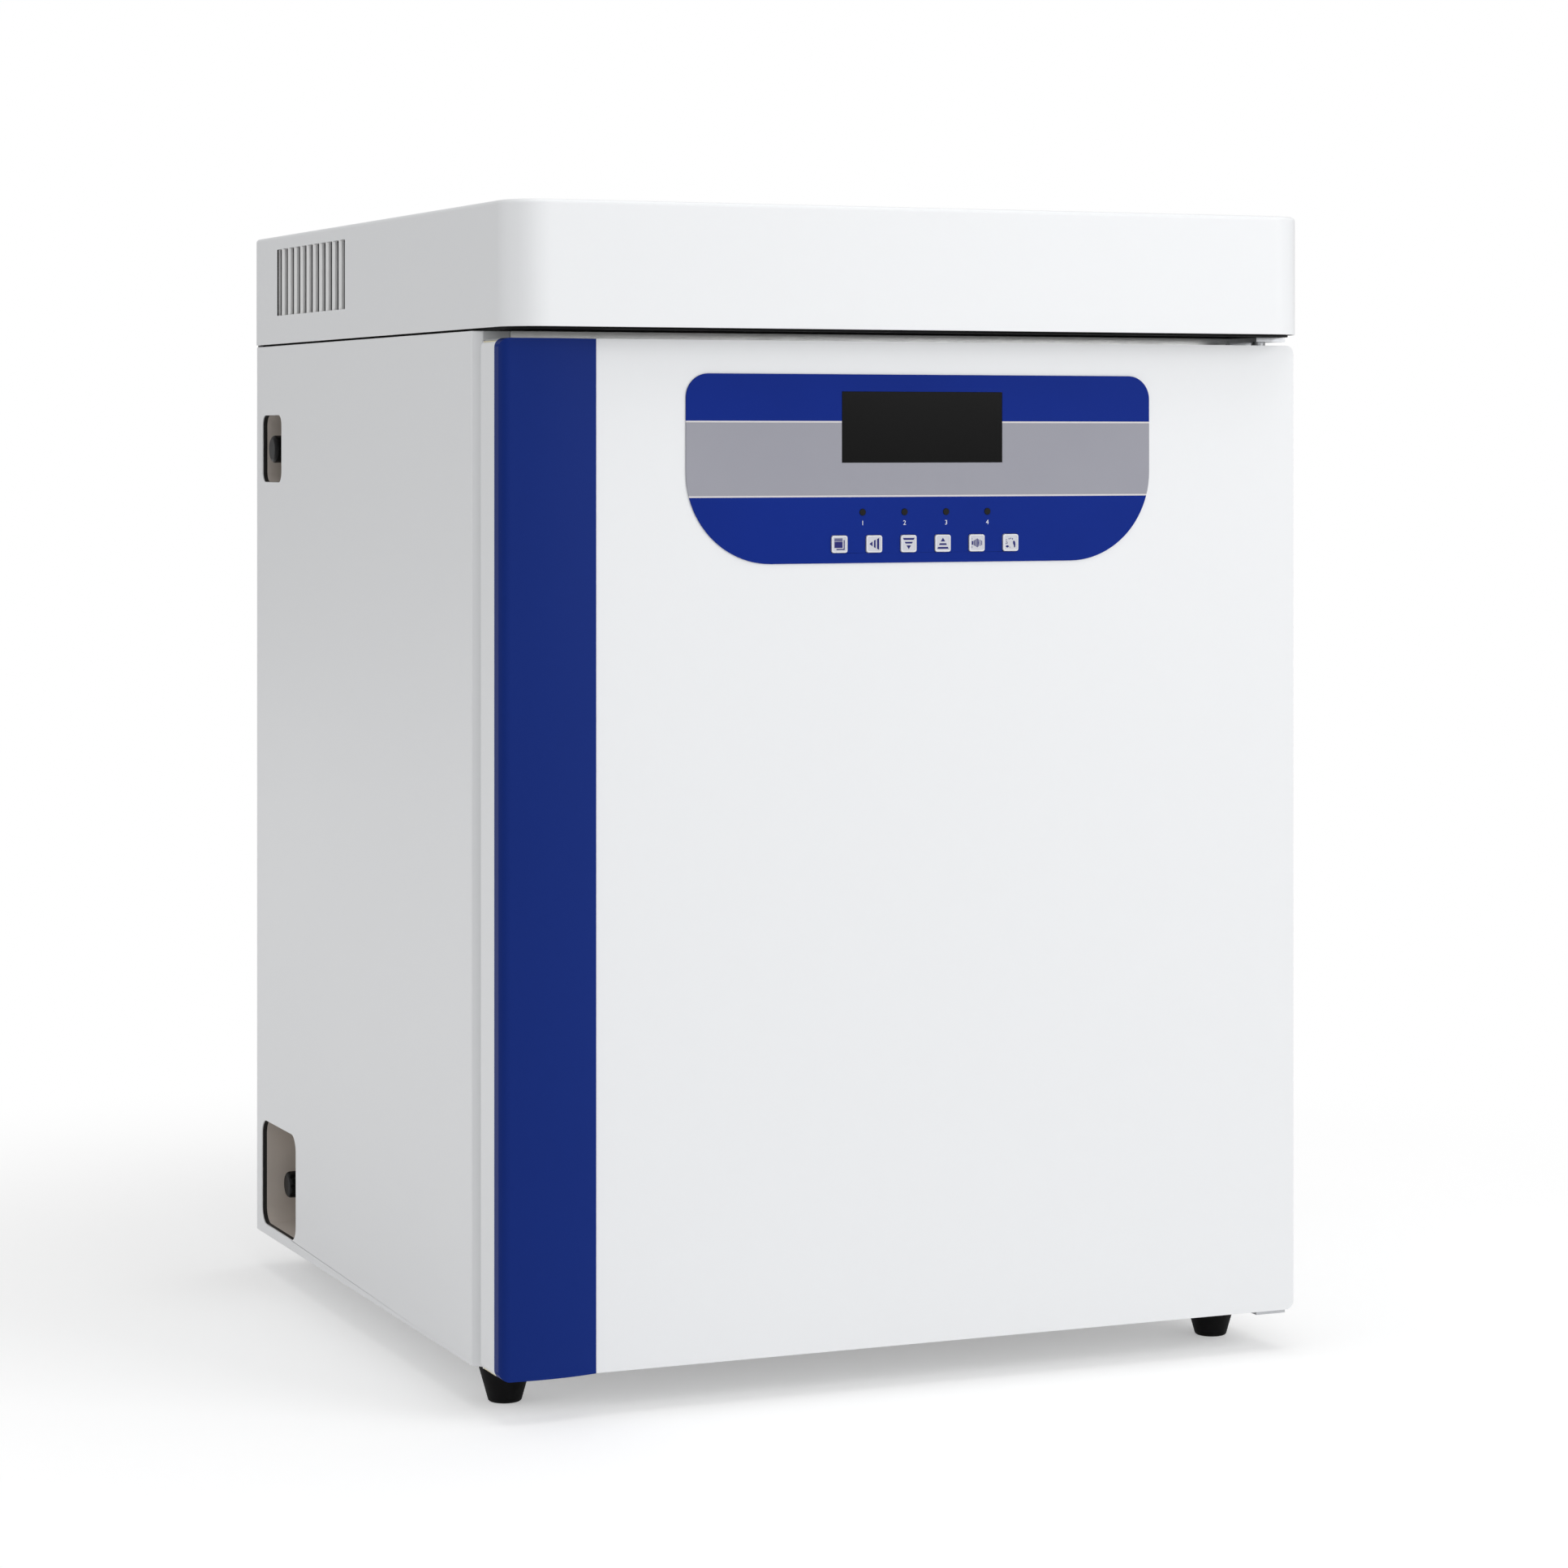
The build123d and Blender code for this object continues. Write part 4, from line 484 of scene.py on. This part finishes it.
symbols = {
    "menu": [
        bar(-3.8, 2.2, 3.15, 3.9), bar(-3.8, 2.2, 1.95, 2.85), bar(-3.8, 2.2, -2.5, 1.65),
        [(2.95, 2.8), (2.95, -3.1), (-2.3, -3.1), (-2.3, -3.9), (3.7, -3.9), (3.7, 2.8)]],
    "shift": [
        [(-3.6, 0.0), (-1.3, -1.7), (-1.3, 1.7)],
        [(-0.3, -2.3), (1.0, -2.9), (1.0, 2.9), (-0.3, 2.3)],
        [(2.0, -3.3), (3.6, -4.0), (3.6, 4.0), (2.0, 3.3)]],
    "down": [
        [(-4.3, 3.8), (-3.6, 2.5), (3.6, 2.5), (4.3, 3.8)],
        [(-3.0, 1.2), (-2.4, 0.0), (2.4, 0.0), (3.0, 1.2)],
        [(-1.7, -1.2), (0.0, -3.8), (1.7, -1.2)]],
    "up": [
        [(0.0, 3.8), (-1.7, 1.2), (1.7, 1.2)],
        [(-2.4, 0.0), (-3.0, -1.2), (3.0, -1.2), (2.4, 0.0)],
        [(-3.6, -2.5), (-4.3, -3.8), (4.3, -3.8), (3.6, -2.5)]],
    "alarm": [
        bar(-3.75, -3.45, 2.3, 3.5), bar(-3.75, -3.45, -3.4, -2.2), bar(-3.9, -2.7, -1.3, 1.3),
        bar(-2.4, -1.8, -1.7, 1.7), bar(-1.5, -0.9, -2.2, 2.2), bar(-0.6, 0.0, -2.8, 2.8),
        [(0.3, -3.2), (1.2, -2.3), (1.5, 0.0), (1.2, 2.3), (0.3, 3.2)],
        bar(2.0, 2.6, -2.1, 2.1), bar(3.3, 3.9, -1.5, 1.5)],
    "lamp": [
        ring(0.35, 0.55, -1.2, 2.6, 10), ring(0.35, 0.55, 0.1, 2.8, 10), ring(0.35, 0.55, 1.4, 2.5, 10),
        bar(-3.6, -2.9, 1.6, 2.2), bar(-3.4, -2.6, 0.4, 0.9), bar(-3.7, -3.1, -0.9, -0.3),
        bar(-2.9, -2.3, -0.6, 0.1),
        ring(1.15, 0.8, -2.5, -2.6, 16), bar(-0.9, -0.4, -3.4, -2.9),
        [(1.7, 1.0), (2.9, 1.2), (3.5, 0.2), (3.6, -1.4), (3.4, -3.3), (2.5, -3.4), (2.4, -1.9),
         (1.8, -0.8)]],
}


def rounded_loop(half, radius):
    """Corner points of a rounded square, going round once."""
    corners = [(1, 1, 0), (-1, 1, 90), (-1, -1, 180), (1, -1, 270)]
    loop = []
    for side_x, side_z, start in corners:
        for step in range(5):
            turn = math.radians(start + 22.5 * step)
            reach = half - radius
            loop.append((side_x * reach + radius * math.cos(turn), side_z * reach + radius * math.sin(turn)))
    return loop


def raise_flat(form, outline, middle_x, rise, slot):
    """Adds one outline in millimetres as a thin raised shape on the front of a key."""
    layers = []
    for depth in (0.0, rise):
        layers.append([form.verts.new((middle_x + x / 1000, key_front - depth / 1000, key_z + z / 1000))
                       for x, z in outline])
    made = [form.faces.new(layers[1])]
    for index in range(len(outline)):
        after = (index + 1) % len(outline)
        made.append(form.faces.new([layers[0][index], layers[0][after], layers[1][after], layers[1][index]]))
    for face in made:
        face.material_index = slot


for index, name in enumerate(key_names):
    middle_x = first_key_x + key_pitch * index
    form = bmesh.new()
    for outline in symbols[name]:
        raise_flat(form, outline, middle_x, ink_rise, 1)
    loops = []
    for half, radius, rise in ((key_half, key_corner, 0.0), (key_half - 0.15, key_corner - 0.15, rim_rise),
                               (key_half - rim_width, 0.9, rim_rise),
                               (key_half - rim_width - 0.15, 0.75, 0.0)):
        loops.append([form.verts.new((middle_x + x / 1000, key_front - rise / 1000, key_z + z / 1000))
                      for x, z in rounded_loop(half, radius)])
    for outer, inner in zip(loops, loops[1:]):
        for step in range(len(outer)):
            after = (step + 1) % len(outer)
            form.faces.new([outer[step], outer[after], inner[after], inner[step]])
    bmesh.ops.recalc_face_normals(form, faces=form.faces)
    face_mesh = bpy.data.meshes.new(name + "_key_face")
    form.to_mesh(face_mesh)
    form.free()
    face_mesh.materials.append(rim_plastic.material)
    face_mesh.materials.append(navy_ink.material)
    key_face = bpy.data.objects.new(name + "_key_face", face_mesh)
    bpy.context.scene.collection.objects.link(key_face)
    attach(key_face, name + "_button")
wear(key_plastic, *[f"{name}_key" for name in key_names])

# Circuit boards: green solder mask with dark moulded parts standing on it.
board_mask = Finish("board_mask", (0.012, 0.14, 0.045), 0.35)
board_mask.vary(0.004, 0.35, 0.1)
wear(board_mask, "control_board", "key_board")

# Inner glass door: 5 mm clear tempered glass with a pale green edge.
glass = Finish("clear_glass", (0.93, 0.975, 0.96), 0.02, Transmission_Weight=1.0, IOR=1.5)
glass.relief(glass.noise(0.2, 1.0), 0.0001, 0.05)
wear(glass, "glass_pane")

# Ultraviolet lamp: an opal tube between two white moulded holders under the roof of the chamber.
tube_glass = Finish("tube_glass", (0.86, 0.88, 0.93), 0.2, Subsurface_Weight=0.1)
holder_x = 0.1248
holder = abs(tube_glass.axes()[0]) > holder_x
tube_glass.set(Base_Color=tube_glass.mix(holder, tube_glass.colour, (0.80, 0.80, 0.78, 1.0)))
tube_glass.set(Roughness=0.18 + holder * 0.3)
tube_glass.relief(tube_glass.noise(0.01, 1.0), 0.00005, 0.1)
wear(tube_glass, "uv_lamp")

# Studio: a pale floor that keeps the shadow, a white surround, four soft lights and the camera.
floor_mesh = bpy.data.meshes.new("studio_floor")
floor_form = bmesh.new()
bmesh.ops.create_grid(floor_form, x_segments=1, y_segments=1, size=8.0)
floor_form.to_mesh(floor_mesh)
floor_form.free()
floor = bpy.data.objects.new("studio_floor", floor_mesh)
bpy.context.scene.collection.objects.link(floor)
floor_paint = Finish("studio_floor", (0.80, 0.80, 0.80), 0.9, Specular_IOR_Level=0.0)
rays = floor_paint.node("LightPath").socket.node.outputs
seen = Wire(floor_paint, rays["Is Camera Ray"]) + Wire(floor_paint, rays["Is Glossy Ray"])
seen = seen + Wire(floor_paint, rays["Is Transmission Ray"])
seen = seen.maths("MINIMUM", seen, 1.0)
away = floor_paint.node("VectorMath", {"operation": "LENGTH"}, {0: floor_paint.place()}, output=1)
fade_start, fade_end, near_glow = 0.55, 1.2, 0.34
limits = {"Value": away, "From Min": fade_start, "From Max": fade_end}
fade = floor_paint.node("MapRange", {"interpolation_type": "SMOOTHSTEP"}, limits)
floor_paint.set(Base_Color=floor_paint.mix(fade * seen, floor_paint.colour, (0.0, 0.0, 0.0, 1.0)))
glow = seen * (near_glow + fade * (1.0 - near_glow))
floor_paint.set(Emission_Color=(1.0, 1.0, 1.0, 1.0), Emission_Strength=glow)
floor_mesh.materials.append(floor_paint.material)

world = bpy.data.worlds.new("studio")
world.use_nodes = True
bpy.context.scene.world = world
sky = world.node_tree
backdrop = sky.nodes["Background"]
path = sky.nodes.new("ShaderNodeLightPath")
straight = sky.nodes.new("ShaderNodeMath")
straight.operation = "MAXIMUM"
sky.links.new(path.outputs["Is Camera Ray"], straight.inputs[0])
sky.links.new(path.outputs["Is Transmission Ray"], straight.inputs[1])
level = sky.nodes.new("ShaderNodeMapRange")
sky.links.new(straight.outputs[0], level.inputs["Value"])
surround_light = 0.46
level.inputs["To Min"].default_value = surround_light
level.inputs["To Max"].default_value = 1.0
sky.links.new(level.outputs[0], backdrop.inputs["Strength"])
backdrop.inputs["Color"].default_value = (1.0, 1.0, 1.0, 1.0)

target = Vector((0.0, 0.0, 0.42))
lights = [
    ("key_light", (2.3, -3.3, 1.9), 2.4, 56.0, (1.0, 1.0, 1.0)),
    ("front_light", (-0.6, -3.8, 0.9), 2.6, 18.0, (0.97, 0.99, 1.0)),
    ("left_light", (-3.2, 0.2, 1.6), 2.4, 12.0, (1.0, 1.0, 1.0)),
    ("top_light", (0.2, -0.4, 3.2), 2.4, 26.0, (1.0, 1.0, 1.0)),
]
for name, spot, size, power, colour in lights:
    light = bpy.data.lights.new(name, "AREA")
    light.size = size
    light.energy = power
    light.color = colour
    lamp = bpy.data.objects.new(name, light)
    lamp.location = spot
    lamp.rotation_euler = (target - Vector(spot)).to_track_quat("-Z", "Y").to_euler()
    bpy.context.scene.collection.objects.link(lamp)

camera_data = bpy.data.cameras.new("photo_camera")
camera_data.sensor_width = 36.0
camera_data.lens = 95.60
camera_data.shift_y = -0.21786
camera_data.clip_end = 50.0
camera = bpy.data.objects.new("photo_camera", camera_data)
camera.location = (-1.17418, -2.8562, 0.6392)
camera.rotation_euler = (math.radians(90.0), 0.0, math.radians(-22.8446))
bpy.context.scene.collection.objects.link(camera)
bpy.context.scene.camera = camera
bpy.context.scene.view_settings.view_transform = "Standard"
